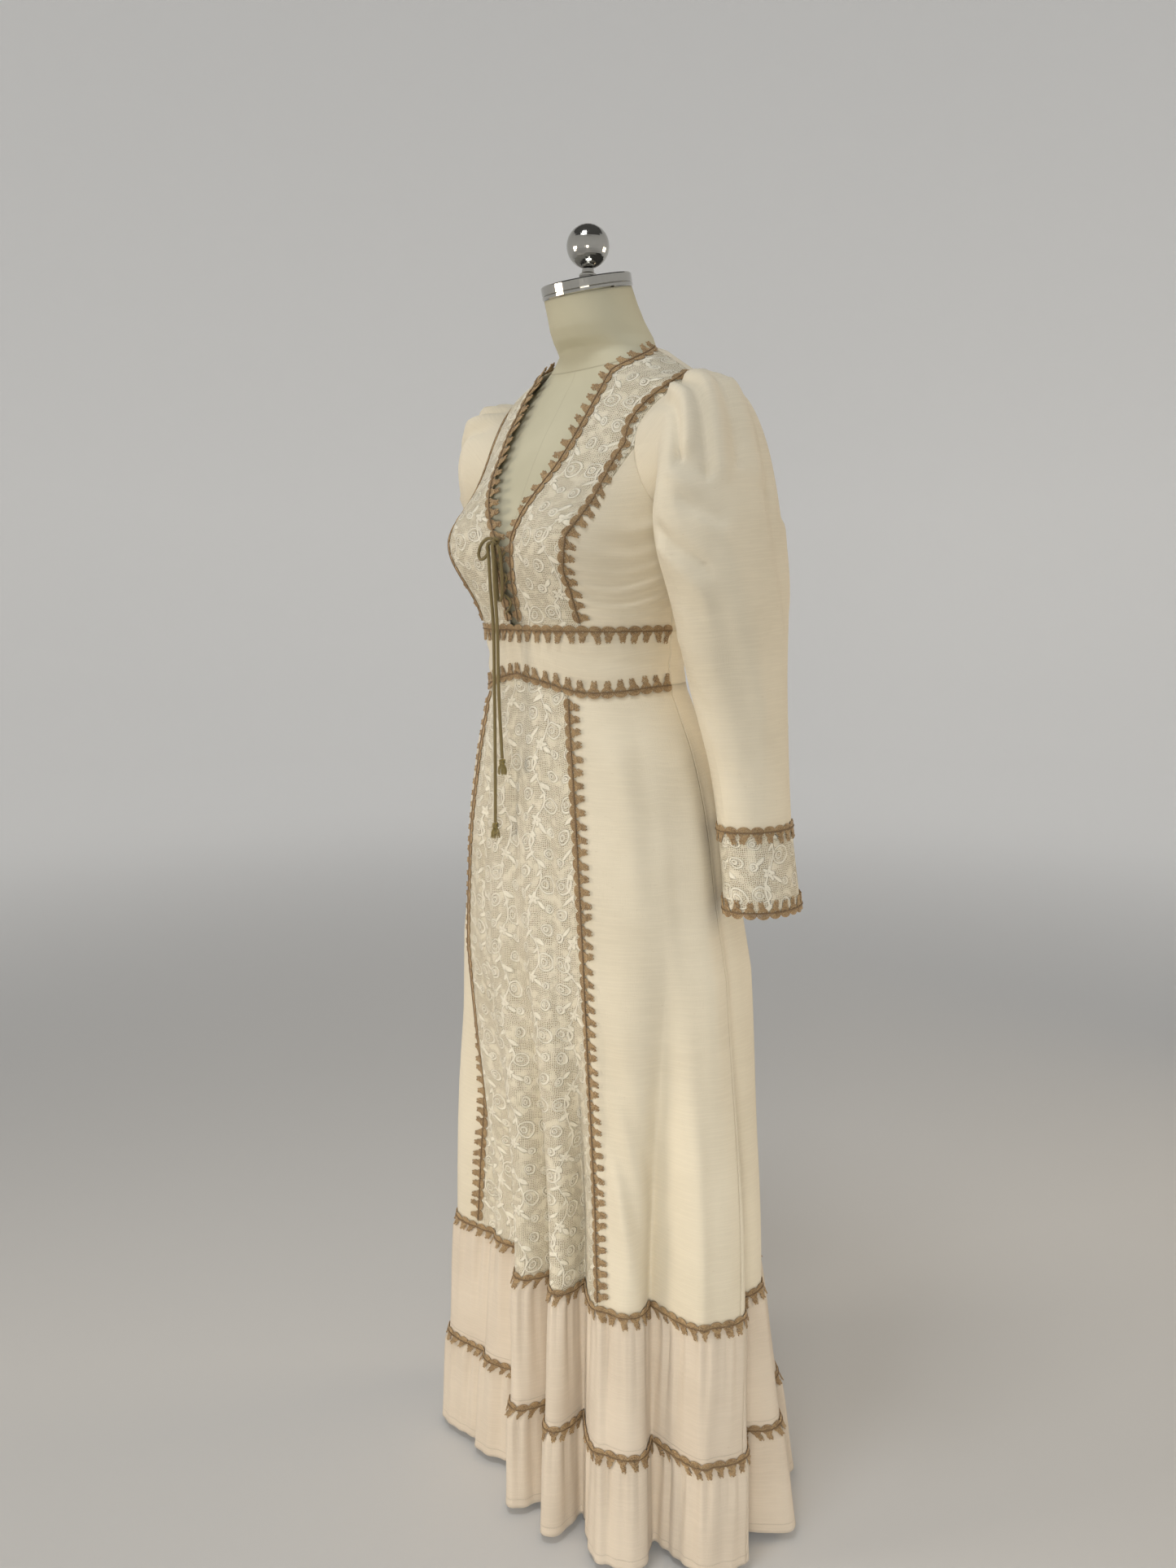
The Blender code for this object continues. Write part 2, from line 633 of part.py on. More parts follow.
def build_skirt():
    seams = seam_angles()
    grid = skirt_grid(seams)
    start, places = 0, {}
    for name, count in PANELS:
        piece = [[row[(start + i) % len(row)] for i in range(count + 1)] for row in grid]
        lace = name == "skirt_front_lace"
        wall(name, piece, LACE if lace else CLOTH, lace_cloth() if lace else plain_cloth())
        places[name] = (start, start + count)
        start += count
    upper = flounce_grid(seams, UPPER_SEAM, LOWER_SEAM, False)
    lower = flounce_grid(seams, LOWER_SEAM, HEM, True)
    splits = [2 * places["skirt_side_right"][0], 2 * places["skirt_back_left"][0]]
    for word, rings, sides in (("upper", upper, ("bottom", "top")), ("lower", lower, ("top",))):
        total = len(rings[0])
        front = [[row[i % total] for i in range(splits[0], splits[1] + 1)] for row in rings]
        back = [[row[i % total] for i in range(splits[1], splits[0] + total + 1)] for row in rings]
        for part, strip in (("front", front), ("back", back)):
            wall("flounce_" + word + "_" + part, strip, CLOTH, plain_cloth(), sides=sides, top_gap=FLOUNCE_GAP)
    return grid, places, upper, lower


# The sleeves and cuffs: rings from the armhole down, each given by its outer and inner points

SleeveRing = namedtuple("SleeveRing", "outer_x outer_z inner_x inner_z middle_y half_depth")
SLEEVE = [
    SleeveRing(0.173, 1.360, 0.158, 1.208, -0.009, 0.061),
    SleeveRing(0.199, 1.348, 0.162, 1.202, -0.010, 0.069),
    SleeveRing(0.219, 1.314, 0.163, 1.194, -0.013, 0.077),
    SleeveRing(0.234, 1.262, 0.162, 1.183, -0.015, 0.083),
    SleeveRing(0.246, 1.200, 0.161, 1.160, -0.012, 0.082),
    SleeveRing(0.251, 1.122, 0.161, 1.118, 0.001, 0.075),
    SleeveRing(0.247, 1.035, 0.164, 1.035, 0.016, 0.062),
    SleeveRing(0.243, 0.945, 0.171, 0.945, 0.034, 0.049),
    SleeveRing(0.246, CUFF_TOP, 0.179, CUFF_TOP, 0.039, 0.045),
]
CUFF = [
    SLEEVE[-1],
    SleeveRing(0.251, 0.832, 0.184, 0.832, 0.041, 0.046),
    SleeveRing(0.257, CUFF_HEM, 0.189, CUFF_HEM, 0.042, 0.048),
]
SLEEVE_COLUMNS = 18
RIGHT_SLEEVE_BACK = 0.058   # the right sleeve hangs further back
RIGHT_SLEEVE_IN = 0.006     # and closer in
SLEEVE_SEAT = 0.0008        # between the armhole's edge and the sleeve, outwards and sideways


def sleeve_ring(ring, side, back_share=1.0):
    """A sleeve's ring, from its front round its inner side to its back and over its outer side."""
    outer, inner = Vector((ring.outer_x, 0, ring.outer_z)), Vector((ring.inner_x, 0, ring.inner_z))
    centre, reach = (outer + inner) / 2, (outer - inner) / 2
    back = ring.middle_y + (RIGHT_SLEEVE_BACK * back_share if side < 0 else 0.0)
    centre.x -= RIGHT_SLEEVE_IN * back_share if side < 0 else 0.0
    points = []
    for i in range(SLEEVE_COLUMNS):
        turn = math.radians(360.0 * i / SLEEVE_COLUMNS)
        point = centre + reach * math.sin(turn)
        points.append(Vector((side * point.x, back - ring.half_depth * math.cos(turn), point.z)))
    return points if side > 0 else points[::-1]


def build_sleeve(side, word):
    armhole = []
    for i in range(SLEEVE_COLUMNS):
        turn = 360.0 * i / SLEEVE_COLUMNS
        pair = armhole_line(turn if turn <= 270.0 else turn - 360.0)
        seat = over_body(side * pair[0], pair[1], BODY_GAP + LACE + SLEEVE_SEAT)
        armhole.append(seat + Vector((side * SLEEVE_SEAT, 0.0, 0.0)))
    if side < 0:
        armhole = armhole[::-1]
    back = [0.0, 0.15, 0.45, 0.80] + [1.0] * 5
    rings = [sleeve_ring(ring, side, share) for ring, share in zip(SLEEVE, back)]
    sleeve = ([armhole] + rings)[::-1]
    cuff = [sleeve_ring(ring, side) for ring in CUFF][::-1]
    wall("sleeve_" + word, sleeve, CLOTH, plain_cloth(), closed=True, sides=("bottom",))
    wall("cuff_" + word, cuff, LACE, lace_cloth(), closed=True)
    return sleeve, cuff


# Braid: strips made from the points of the cloth under them, moved out

def raised(grid, lift, closed=False):
    rows, columns = len(grid), len(grid[0])
    made = []
    for r in range(rows):
        row = []
        for c in range(columns):
            after = (c + 1) % columns if closed else min(c + 1, columns - 1)
            before = (c - 1) % columns if closed else max(c - 1, 0)
            point = grid[r][c]
            up = grid[min(r + 1, rows - 1)][c] - grid[max(r - 1, 0)][c]
            normal = (point - grid[r][before]).cross(up).normalized()
            normal += (grid[r][after] - point).cross(up).normalized()
            row.append(point + normal.normalized() * lift)
        made.append(row)
    return made


def walked(points, distance):
    """The point a distance along a chain of points."""
    for a, b in zip(points, points[1:]):
        span = (b - a).length
        if distance <= span or b is points[-1]:
            return a + (b - a) * (distance / span)
        distance -= span


def braid(name, grid, closed=False):
    rows, columns = len(grid) - 1, len(grid[0]) - 1 + (1 if closed else 0)
    shell_wall(name, grid, rows, columns, BRAID, braid_yarn(), closed)


def shortened(grid, bottom=0.0, top=0.0):
    """A strip with its ends drawn back from what they meet."""
    cut = [list(row) for row in grid]
    for c in range(len(grid[0])):
        column = [row[c] for row in grid]
        if bottom:
            cut[0][c] = walked(column, bottom)
        if top:
            cut[-1][c] = walked(column[::-1], top)
    return cut


def column(grid, index):
    return [row[index] for row in grid]


GAP_HALF = 0.0014       # half the gap between the picots over the lacing
ARMHOLE_CLEAR = 0.0040  # between the armhole's edge and the braid that runs along it
JOINS_ARMHOLE = 0.55    # share of the lace's lower edge where its braid starts to leave the seam


def onto_body(point, lift):
    """A point moved to lie just over the body's surface, at its own height."""
    angle = math.degrees(math.atan2(point.x, lookup(TORSO, point.z).middle - point.y))
    return over_body(angle, point.z, lift)


def build_bodice_braid(grids):
    end = SCALLOPS + 2 * BRAID_END
    for side, word in ((1, "left"), (-1, "right")):
        lace = raised(grids["lace_" + word], LACE + BRAID_LIFT)
        plain = raised(grids["side_" + word], LACE + BRAID_LIFT)
        lace = [row if side > 0 else row[::-1] for row in lace]
        plain = [row if side > 0 else row[::-1] for row in plain]
        neck, outer = [], []
        for i, lace_row in enumerate(lace):
            edge = lace_row[0]
            out = (lace_row[0] - lace_row[1]).normalized()
            reach = min(PICOTS, (abs(edge.x) - GAP_HALF) / max(0.2, abs(out.x)))
            over_form = onto_body(edge + out * reach, BODY_GAP + LACE + BRAID_LIFT)
            neck.append([over_form, edge, walked(lace_row, SCALLOPS)])
            inwards = lace_row[::-1]
            points = [walked(inwards, ARMHOLE_CLEAR + i * SCALLOPS) for i in (2, 1, 0)]
            if i < len(plain):
                seam = (lace_row[-1] + plain[i][0]) / 2
                on_seam = [walked(inwards, SCALLOPS), seam, walked(plain[i], PICOTS)]
                share = ease((LOWER_ROWS[i] - JOINS_ARMHOLE) / (1 - JOINS_ARMHOLE))
                points = [a.lerp(b, share) for a, b in zip(on_seam, points)]
            outer.append(points)
        for name, strip in (("braid_neck_", neck), ("braid_panel_", outer)):
            strip = [row[::side] for row in strip]
            braid(name + word, shortened(strip, bottom=end, top=BRAID_END))


def build_underbust_braid(grids, midriff):
    above = [a + b for a, b in zip(raised(grids["side_right"], LACE + BRAID_LIFT),
                                   [row[1:] for row in raised(grids["lace_right"], LACE + BRAID_LIFT)])]
    above = [a + b + c[1:] for a, b, c in zip(above, raised(grids["lace_left"], LACE + BRAID_LIFT),
                                              raised(grids["side_left"], LACE + BRAID_LIFT))]
    below = raised(midriff, LACE + BRAID_LIFT)
    columns = range(len(below[0]))
    top = [walked(column(above, c), SCALLOPS) for c in columns]
    low = [walked(column(below, c)[::-1], PICOTS) for c in columns]
    braid("braid_underbust", [low, [(below[-1][c] + above[0][c]) / 2 for c in columns], top])


def build_skirt_braid(grid, places, upper, lower):
    lace = LACE + FOLD_LIFT
    start = places["skirt_side_right"][0]
    front = range(start, places["skirt_back_left"][0] + 1)
    high = raised(grid, lace, closed=True)
    seam = [high[-1][c] for c in front]
    low = [walked(column(high, c)[::-1], SCALLOPS) for c in front]
    up = []
    for point in seam:
        up.append(onto_body(point + Vector((0.0, 0.0, PICOTS)), BODY_GAP + lace))
    braid("braid_waist", [low, seam, up])
    end = SCALLOPS + BRAID_END
    for word, edge, outwards in (("right", places["skirt_front_lace"][0], -1),
                                 ("left", places["skirt_front_lace"][1], 1)):
        strip = []
        for row in high[:1] + high[2:]:
            over_lace = walked([row[edge - outwards * i] for i in range(3)], SCALLOPS)
            over_side = walked([row[edge + outwards * i] for i in range(4)], PICOTS)
            strip.append([over_lace, row[edge], over_side][::outwards])
        braid("braid_skirt_" + word, shortened(strip, bottom=end, top=end))
    for name, above, below in (("braid_flounce_upper", grid, upper), ("braid_flounce_lower", upper, lower)):
        ahead = raised(above, lace, closed=True)
        step = len(ahead[0]) // len(grid[0])
        ahead = [row[::step] for row in ahead]
        under = [row[::2] for row in raised(below, lace, closed=True)]
        columns = range(len(under[0]))
        braid(name, [[walked(column(under, c)[::-1], PICOTS) for c in columns],
                     [(ahead[0][c] + under[-1][c]) / 2 for c in columns],
                     [walked(column(ahead, c), SCALLOPS) for c in columns]], closed=True)


def build_cuff_braid(word, sleeve, cuff):
    lace = LACE + CUFF_LIFT
    above, below = raised(sleeve, lace, closed=True), raised(cuff, lace, closed=True)
    columns = range(SLEEVE_COLUMNS)
    seam = [(above[0][c] + below[-1][c]) / 2 for c in columns]
    braid("braid_cuff_upper_" + word, [[walked(column(below, c)[::-1], PICOTS) for c in columns], seam,
                                       [walked(column(above, c), SCALLOPS) for c in columns]], closed=True)
    hem = []
    for c in columns:
        down = (below[0][c] - below[1][c]).normalized()
        hem.append([below[0][c] + down * SCALLOPS, below[0][c], walked(column(below, c), PICOTS)])
    braid("braid_cuff_lower_" + word, [[point[i] for point in hem] for i in range(3)], closed=True)


# The lacing: one cord drawn through the neck edges, tied at the top, with two free ends

CORD_RADIUS = 0.0019
KNOT_RADIUS = 0.0050
KNOT_LEAD = 0.0050      # how far each cord runs straight out of the knot
KNOT_GAP = 0.0008       # between the knot and each cord's end
FREE_Y = -0.1545        # how far forward the free cord hangs
KNOT = Vector((-0.002, -0.1520, 1.187))
Cord = namedtuple("Cord", "leaves points returns")
LONG_LOOP = Cord((-0.50, 0.00, -0.87),
                 [(-0.0062, -0.1500, 1.1700), (-0.0064, -0.1487, 1.1500), (-0.0052, -0.1480, 1.1290),
                  (-0.0010, -0.1480, 1.1215), (0.0032, -0.1480, 1.1290), (0.0042, -0.1487, 1.1500),
                  (0.0036, -0.1500, 1.1700)], (0.50, 0.00, -0.87))
SMALL_LOOP = Cord((-0.95, 0.00, 0.30),
                  [(-0.0150, -0.1540, 1.1895), (-0.0230, -0.1550, 1.1850), (-0.0280, -0.1560, 1.1760),
                   (-0.0260, -0.1565, 1.1680), (-0.0190, -0.1560, 1.1680), (-0.0125, -0.1545, 1.1750)],
                  (-0.88, -0.30, -0.30))
SHORT_END = Cord((0.42, -0.78, -0.46),
                 [(0.0025, -0.1590, 1.1700), (0.0022, -0.1575, 1.1400), (0.0025, FREE_Y, 1.0900),
                  (0.0040, FREE_Y, 1.0200), (0.0090, FREE_Y, 0.9480)], None)
LONG_END = Cord((-0.42, -0.78, -0.46),
                [(-0.0060, -0.1590, 1.1700), (-0.0055, -0.1575, 1.1400), (-0.0045, FREE_Y, 1.0900),
                 (-0.0040, FREE_Y, 1.0200), (-0.0040, FREE_Y, 0.9400), (-0.0050, FREE_Y, 0.8740)], None)
CROSSINGS = [1.1750, 1.1610, 1.1480, 1.1350, 1.1220, 1.1090]
CROSSING_HALF = 0.0070
CROSSING_LIFT = 0.0070
CROSSING_RADIUS = 0.0014
TASSEL = [(0.0, 0.0), (0.0030, -0.0008), (0.0042, -0.0040), (0.0030, -0.0075), (0.0045, -0.0120),
          (0.0062, -0.0190), (0.0, -0.0195)]


def before_body(x, height, lift):
    side = -1 if x < 0 else 1
    return over_body(side * angle_at(abs(x), height), height, lift)


def smooth_route(points, spacing):
    """Evenly spaced points on a smooth curve through a cord's own points."""
    rows = [(float(i), *point) for i, point in enumerate(points)]
    Row = namedtuple("Row", "at x y z")
    rows = [Row(*row) for row in rows]
    fine = [Vector(lookup(rows, mix(0, len(rows) - 1, share))[1:]) for share in shares(40 * len(rows))]
    length = sum((b - a).length for a, b in zip(fine, fine[1:]))
    count = max(3, round(length / spacing))
    return [walked(fine, length * share) for share in shares(count)]


def cord(name, points, radius=CORD_RADIUS, straight=(0, 0)):
    """A cord along a smooth curve, apart from the given numbers of points at its ends."""
    first, last = straight[0], len(points) - straight[1]
    route = points[:first] + smooth_route(points[first:last], radius * 6.0) + points[last:]
    curve = bpy.data.curves.new(name, "CURVE")
    curve.dimensions = "3D"
    curve.bevel_depth = radius
    curve.bevel_resolution = 2
    curve.use_fill_caps = True
    spline = curve.splines.new("POLY")
    spline.points.add(len(route) - 1)
    for point, place_at in zip(spline.points, route):
        point.co = (*place_at, 1.0)
    made = bpy.data.objects.new(name, curve)
    curve.materials.append(lacing_cord())
    COLLECTION.objects.link(made)


def tied(shape):
    """A cord's points, from the knot's surface and, for a loop, back to it."""
    def out(direction, beyond):
        return KNOT + Vector(direction).normalized() * (KNOT_RADIUS + KNOT_GAP + beyond)

    points = [out(shape.leaves, 0.0), out(shape.leaves, KNOT_LEAD)]
    points += [Vector(point) for point in shape.points]
    if shape.returns:
        points += [out(shape.returns, KNOT_LEAD), out(shape.returns, 0.0)]
    return points


def build_lacing():
    cord("lacing_long_loop", tied(LONG_LOOP), straight=(1, 1))
    cord("lacing_small_loop", tied(SMALL_LOOP), straight=(1, 1))
    cord("lacing_short_end", tied(SHORT_END), straight=(1, 0))
    cord("lacing_long_end", tied(LONG_END), straight=(1, 0))
    crossings = [before_body(CROSSING_HALF * (-1) ** i, height, CROSSING_LIFT)
                 for i, height in enumerate(CROSSINGS)]
    cord("lacing_crossings", crossings, CROSSING_RADIUS)
    bpy.ops.mesh.primitive_uv_sphere_add(segments=12, ring_count=8, radius=KNOT_RADIUS)
    knot = bpy.context.object
    knot.name = knot.data.name = "lacing_knot"
    knot.location = KNOT
    adopt(knot, lacing_cord())
    for name, shape in (("lacing_short_tassel", SHORT_END), ("lacing_long_tassel", LONG_END)):
        profile = bpy.data.meshes.new(name)
        profile.from_pydata([(x, 0.0, z) for x, z in TASSEL], [(i, i + 1) for i in range(len(TASSEL) - 1)], [])
        tassel = place(name, profile, lacing_cord(), smooth=False)
        tassel.location = Vector(shape.points[-1]) + Vector((0.0, 0.0, -2 * TOUCH))
        screw = tassel.modifiers.new("Turned", "SCREW")
        screw.steps = screw.render_steps = 10
        screw.use_merge_vertices = True
        screw.merge_threshold = 0.00005


def adopt(made, surface, sharp=math.radians(40)):
    made.data.materials.append(surface)
    made.data.shade_smooth()
    made.data.set_sharp_from_angle(angle=sharp)
    for collection in made.users_collection:
        collection.objects.unlink(made)
    COLLECTION.objects.link(made)


def main():
    for old in list(bpy.data.objects):
        bpy.data.objects.remove(old)
    bpy.context.scene.collection.children.link(COLLECTION)
    build_form()
    build_stand()
    grids = build_bodice()
    build_bodice_braid(grids)
    midriff = build_midriff()
    build_underbust_braid(grids, midriff)
    build_skirt_braid(*build_skirt())
    for side, word in ((1, "left"), (-1, "right")):
        build_cuff_braid(word, *build_sleeve(side, word))
    build_lacing()


main()
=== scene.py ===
"""A long medieval-style gown of cream cotton, lace and looped braid, worn by a dress form."""
import bpy
import bmesh
import math
import random
from collections import namedtuple
import numpy as np
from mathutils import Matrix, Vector


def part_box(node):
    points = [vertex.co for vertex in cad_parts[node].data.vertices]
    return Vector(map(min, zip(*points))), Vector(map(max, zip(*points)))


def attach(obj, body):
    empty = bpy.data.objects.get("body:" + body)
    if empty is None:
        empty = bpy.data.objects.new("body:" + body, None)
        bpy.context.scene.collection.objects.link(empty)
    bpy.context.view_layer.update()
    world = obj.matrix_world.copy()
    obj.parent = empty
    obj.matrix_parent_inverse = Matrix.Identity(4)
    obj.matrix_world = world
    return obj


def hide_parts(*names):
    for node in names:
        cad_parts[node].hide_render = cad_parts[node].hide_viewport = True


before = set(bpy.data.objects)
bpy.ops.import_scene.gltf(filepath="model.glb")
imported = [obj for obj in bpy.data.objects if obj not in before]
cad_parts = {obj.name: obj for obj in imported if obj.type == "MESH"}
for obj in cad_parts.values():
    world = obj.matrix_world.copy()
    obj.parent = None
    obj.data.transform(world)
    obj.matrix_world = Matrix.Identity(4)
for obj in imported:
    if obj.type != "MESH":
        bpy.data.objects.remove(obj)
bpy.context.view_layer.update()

# The camera stands at the wearer's left front, at about chest height, and looks
# a little down. The photograph is 1445 pixels wide and 1927 high.
PHOTO_HEIGHT = 1927
FOCAL_PIXELS = 1565.37
SENSOR_MM = 36.0
EYE = Vector((1.1347, -1.0063, 1.1322))
EYE_AZIMUTH, EYE_PITCH = 49.0, 8.596

camera = bpy.data.objects.new("camera", bpy.data.cameras.new("camera"))
camera.data.sensor_fit = "AUTO"
camera.data.sensor_width = SENSOR_MM
camera.data.lens = FOCAL_PIXELS * SENSOR_MM / PHOTO_HEIGHT
camera.location = EYE
camera.rotation_euler = (math.radians(90.0 - EYE_PITCH), 0.0, math.radians(EYE_AZIMUTH))
bpy.context.scene.collection.objects.link(camera)
bpy.context.scene.camera = camera


# A finish is a material whose maths is written as plain expressions.
# Number wraps one socket, and Finish makes the nodes.
class Number:
    def __init__(self, finish, socket):
        self.finish, self.socket = finish, socket

    def math(self, operation, *others):
        made = self.finish.node("ShaderNodeMath", {"operation": operation}, dict(enumerate((self, *others))))
        return Number(self.finish, made.outputs[0])

    def __add__(self, other):
        return self.math("ADD", other)

    def __sub__(self, other):
        return self.math("SUBTRACT", other)

    def __mul__(self, other):
        return self.math("MULTIPLY", other)

    def __truediv__(self, other):
        return self.math("DIVIDE", other)

    def __rsub__(self, other):
        return self * -1.0 + other

    __radd__, __rmul__ = __add__, __mul__

    def __abs__(self):
        return self.math("ABSOLUTE")

    def fade(self, start, end):
        """Goes smoothly from 0 at start to 1 at end."""
        made = self.finish.node("ShaderNodeMapRange", {"interpolation_type": "SMOOTHSTEP"},
                                {"Value": self, "From Min": start, "From Max": end})
        return Number(self.finish, made.outputs[0])


class Finish:
    def __init__(self, name, colour, roughness, **constant):
        self.material = bpy.data.materials.new(name)
        self.material.use_nodes = True
        self.shader = self.material.node_tree.nodes["Principled BSDF"]
        self.shader.inputs["Base Color"].default_value = (*colour, 1.0)
        self.shader.inputs["Roughness"].default_value = roughness
        for socket, value in constant.items():
            self.shader.inputs[socket.replace("_", " ")].default_value = value

    def node(self, kind, settings, inputs):
        made = self.material.node_tree.nodes.new(kind)
        for key, value in settings.items():
            setattr(made, key, value)
        for key, value in inputs.items():
            self.feed(made.inputs[key], value)
        return made

    def feed(self, socket, value):
        if isinstance(value, Number):
            self.material.node_tree.links.new(value.socket, socket)
        elif isinstance(value, bpy.types.NodeSocket):
            self.material.node_tree.links.new(value, socket)
        else:
            socket.default_value = value

    def own_place(self):
        """Where a point is in its own piece's axes."""
        return self.node("ShaderNodeTexCoord", {}, {}).outputs["Object"]

    def parts(self, vector):
        """The x, y and z of a vector."""
        split = self.node("ShaderNodeSeparateXYZ", {}, {"Vector": vector})
        return [Number(self, split.outputs[k]) for k in range(3)]

    def sides(self):
        """Metres along and up the cut cloth, and both as a vector."""
        uv = self.node("ShaderNodeUVMap", {"uv_map": "cut"}, {}).outputs["UV"]
        across, up, _ = self.parts(uv)
        return across, up, uv

    def at(self, x, y):
        return self.node("ShaderNodeCombineXYZ", {}, {0: x, 1: y}).outputs[0]

    def noise(self, vector, scale, detail=2.0):
        made = self.node("ShaderNodeTexNoise", {}, {"Vector": vector, "Scale": scale, "Detail": detail})
        return Number(self, made.outputs["Fac"])

    def blend(self, share, first, second):
        """A colour part of the way from one to another."""
        made = self.node("ShaderNodeMix", {"data_type": "RGBA"}, {"Factor": share})
        for name, colour in (("A", first), ("B", second)):
            socket = [s for s in made.inputs if s.name == name and s.type == "RGBA"][0]
            self.feed(socket, (*colour, 1.0) if isinstance(colour, tuple) else colour)
        return [s for s in made.outputs if s.type == "RGBA"][0]

    def raise_by(self, height, distance, strength=1.0):
        made = self.node("ShaderNodeBump", {}, {"Height": height, "Distance": distance, "Strength": strength})
        self.feed(self.shader.inputs["Normal"], made.outputs["Normal"])

    def paint(self, colour):
        self.feed(self.shader.inputs["Base Color"], colour)


# The floor is a pale paper sweep that curves up into a back wall, under soft lamps
# overhead, in front, at the side and behind, in a pale room. Farther from the stand the
# paper is painted paler and glows though it is no lamp: painted light that evens out the
# lamps' falloff and lights the gown from the sides.
SWEEP = [(0.0, 0.0), (4.6, 0.0), (5.1, 0.04), (5.6, 0.22), (6.0, 0.55), (6.25, 1.0), (6.4, 1.6), (6.4, 7.5)]
SWEEP_STEPS = 72
PAPER_BRIGHTENING = (1.2, 5.4)     # the paper is painted paler and given a painted glow between these distances from the stand
paper = Finish("pale paper", (0.62, 0.615, 0.60), 0.75)
aside, beyond, _ = paper.parts(paper.own_place())
painted_brightening = (aside * aside + beyond * beyond).math("SQRT").fade(*PAPER_BRIGHTENING)
# Painted light: the paper's colour is paler farther from the stand, for lamp light that falls off there.
paper.paint(paper.blend(painted_brightening, (0.60, 0.597, 0.590), (0.80, 0.797, 0.785)))
# Painted light: the paper glows, more so farther from the stand, though it is no lamp.
painted_paper_glow = paper.blend(painted_brightening, (0.06, 0.0595, 0.0585), (0.20, 0.198, 0.195))
paper.feed(paper.shader.inputs["Emission Color"], painted_paper_glow)
paper.shader.inputs["Emission Strength"].default_value = 1.0
sweep_mesh = bpy.data.meshes.new("sweep")
rim = [(r * math.cos(2 * math.pi * i / SWEEP_STEPS), r * math.sin(2 * math.pi * i / SWEEP_STEPS), z)
       for r, z in SWEEP[1:] for i in range(SWEEP_STEPS)]
bands = [(k * SWEEP_STEPS + i, (k + 1) * SWEEP_STEPS + i,
          (k + 1) * SWEEP_STEPS + (i + 1) % SWEEP_STEPS, k * SWEEP_STEPS + (i + 1) % SWEEP_STEPS)
         for k in range(len(SWEEP) - 2) for i in range(SWEEP_STEPS)]
sweep_mesh.from_pydata(rim, [], [tuple(range(SWEEP_STEPS))] + bands)
sweep_mesh.materials.append(paper.material)
sweep_mesh.shade_smooth()
sweep = bpy.data.objects.new("sweep", sweep_mesh)
bpy.context.scene.collection.objects.link(sweep)

Lamp = namedtuple("Lamp", "name place aim size spread watts colour")
for lamp in (Lamp("overhead", (0.3, -1.0, 3.2), (0.0, 0.0, 0.8), 0.6, 120, 8.2, (0.95, 0.98, 1.0)),
             Lamp("front", (-1.3, -2.5, 1.0), (0.0, 0.0, 0.5), 0.8, 100, 7.8, (1.0, 0.87, 0.70)),
             Lamp("side", (1.9, -1.9, 0.7), (0.1, 0.0, 0.2), 0.8, 70, 4.5, (1.0, 0.94, 0.84)),
             Lamp("behind", (1.2, 2.3, 1.2), (0.1, 0.0, 0.7), 0.7, 120, 8.0, (1.0, 0.80, 0.54))):
    light = bpy.data.lights.new(lamp.name, "AREA")
    light.energy, light.size, light.color = lamp.watts, lamp.size, lamp.colour
    light.spread = math.radians(lamp.spread)
    held = bpy.data.objects.new(lamp.name, light)
    held.location = lamp.place
    aim = Vector(lamp.aim) - Vector(lamp.place)
    held.rotation_euler = aim.to_track_quat("-Z", "Y").to_euler()
    bpy.context.scene.collection.objects.link(held)

world = bpy.data.worlds.new("room")
world.use_nodes = True
room = world.node_tree
background = room.nodes["Background"]
background.inputs["Color"].default_value = (1.0, 0.985, 0.95, 1.0)
direction = room.nodes.new("ShaderNodeSeparateXYZ")
room.links.new(room.nodes.new("ShaderNodeTexCoord").outputs["Generated"], direction.inputs[0])
ceiling = room.nodes.new("ShaderNodeMapRange")
for socket, value in (("From Min", -0.1), ("From Max", 0.9), ("To Min", 0.04), ("To Max", 0.09)):
    ceiling.inputs[socket].default_value = value
room.links.new(direction.outputs[2], ceiling.inputs["Value"])
room.links.new(ceiling.outputs[0], background.inputs["Strength"])
bpy.context.scene.world = world
bpy.context.scene.view_settings.view_transform = "Standard"


# The dress form is a hard shell under a taut cover of greyish cream canvas, sewn
# down its centre front and round its neck. Its body gives the gown its shape.
FORM_INSET = 0.0058
BODY_GAP = 0.0005
Section = namedtuple("Section", "height half_width half_depth middle squareness")
TORSO = [
    Section(0.790, 0.158, 0.106, -0.004, 2.2),
    Section(0.860, 0.164, 0.114, -0.006, 2.2),
    Section(0.940, 0.152, 0.108, -0.012, 2.15),
    Section(1.020, 0.1275, 0.0990, -0.022, 2.1),
    Section(1.090, 0.1290, 0.1005, -0.025, 2.1),
    Section(1.150, 0.1400, 0.1130, -0.022, 2.1),
    Section(1.200, 0.1475, 0.1130, -0.020, 2.15),
    Section(1.250, 0.1500, 0.1040, -0.012, 2.2),
    Section(1.300, 0.1500, 0.0900, -0.002, 2.3),
    Section(1.335, 0.1490, 0.0760, 0.006, 2.3),
    Section(1.356, 0.1430, 0.0680, 0.011, 2.2),
    Section(1.370, 0.1240, 0.0630, 0.015, 2.1),
    Section(1.385, 0.0970, 0.0590, 0.016, 2.05),
    Section(1.402, 0.0690, 0.0570, 0.012, 2.0),
]
Bust = namedtuple("Bust", "angle spread height above below rise")
BUST = Bust(37.0, 23.0, 1.186, 0.060, 0.052, 0.031)
NeckRing = namedtuple("NeckRing", "height middle radius tilt")
NECK = [
    NeckRing(1.415, 0.004, 0.0570, 4.0),
    NeckRing(1.430, -0.006, 0.0540, 8.0),
    NeckRing(1.446, -0.013, 0.0515, 11.0),
    NeckRing(1.4635, -0.020, 0.0500, 12.7),
]
FORM_COLUMNS = 96
FORM_ROWS = 90
FORM_FOOT = 0.97        # the cover's lowest ring is drawn in to this share of its size
NECK_FOOT = 1.3920      # height of the seam round the foot of the neck, where it crosses y = 0
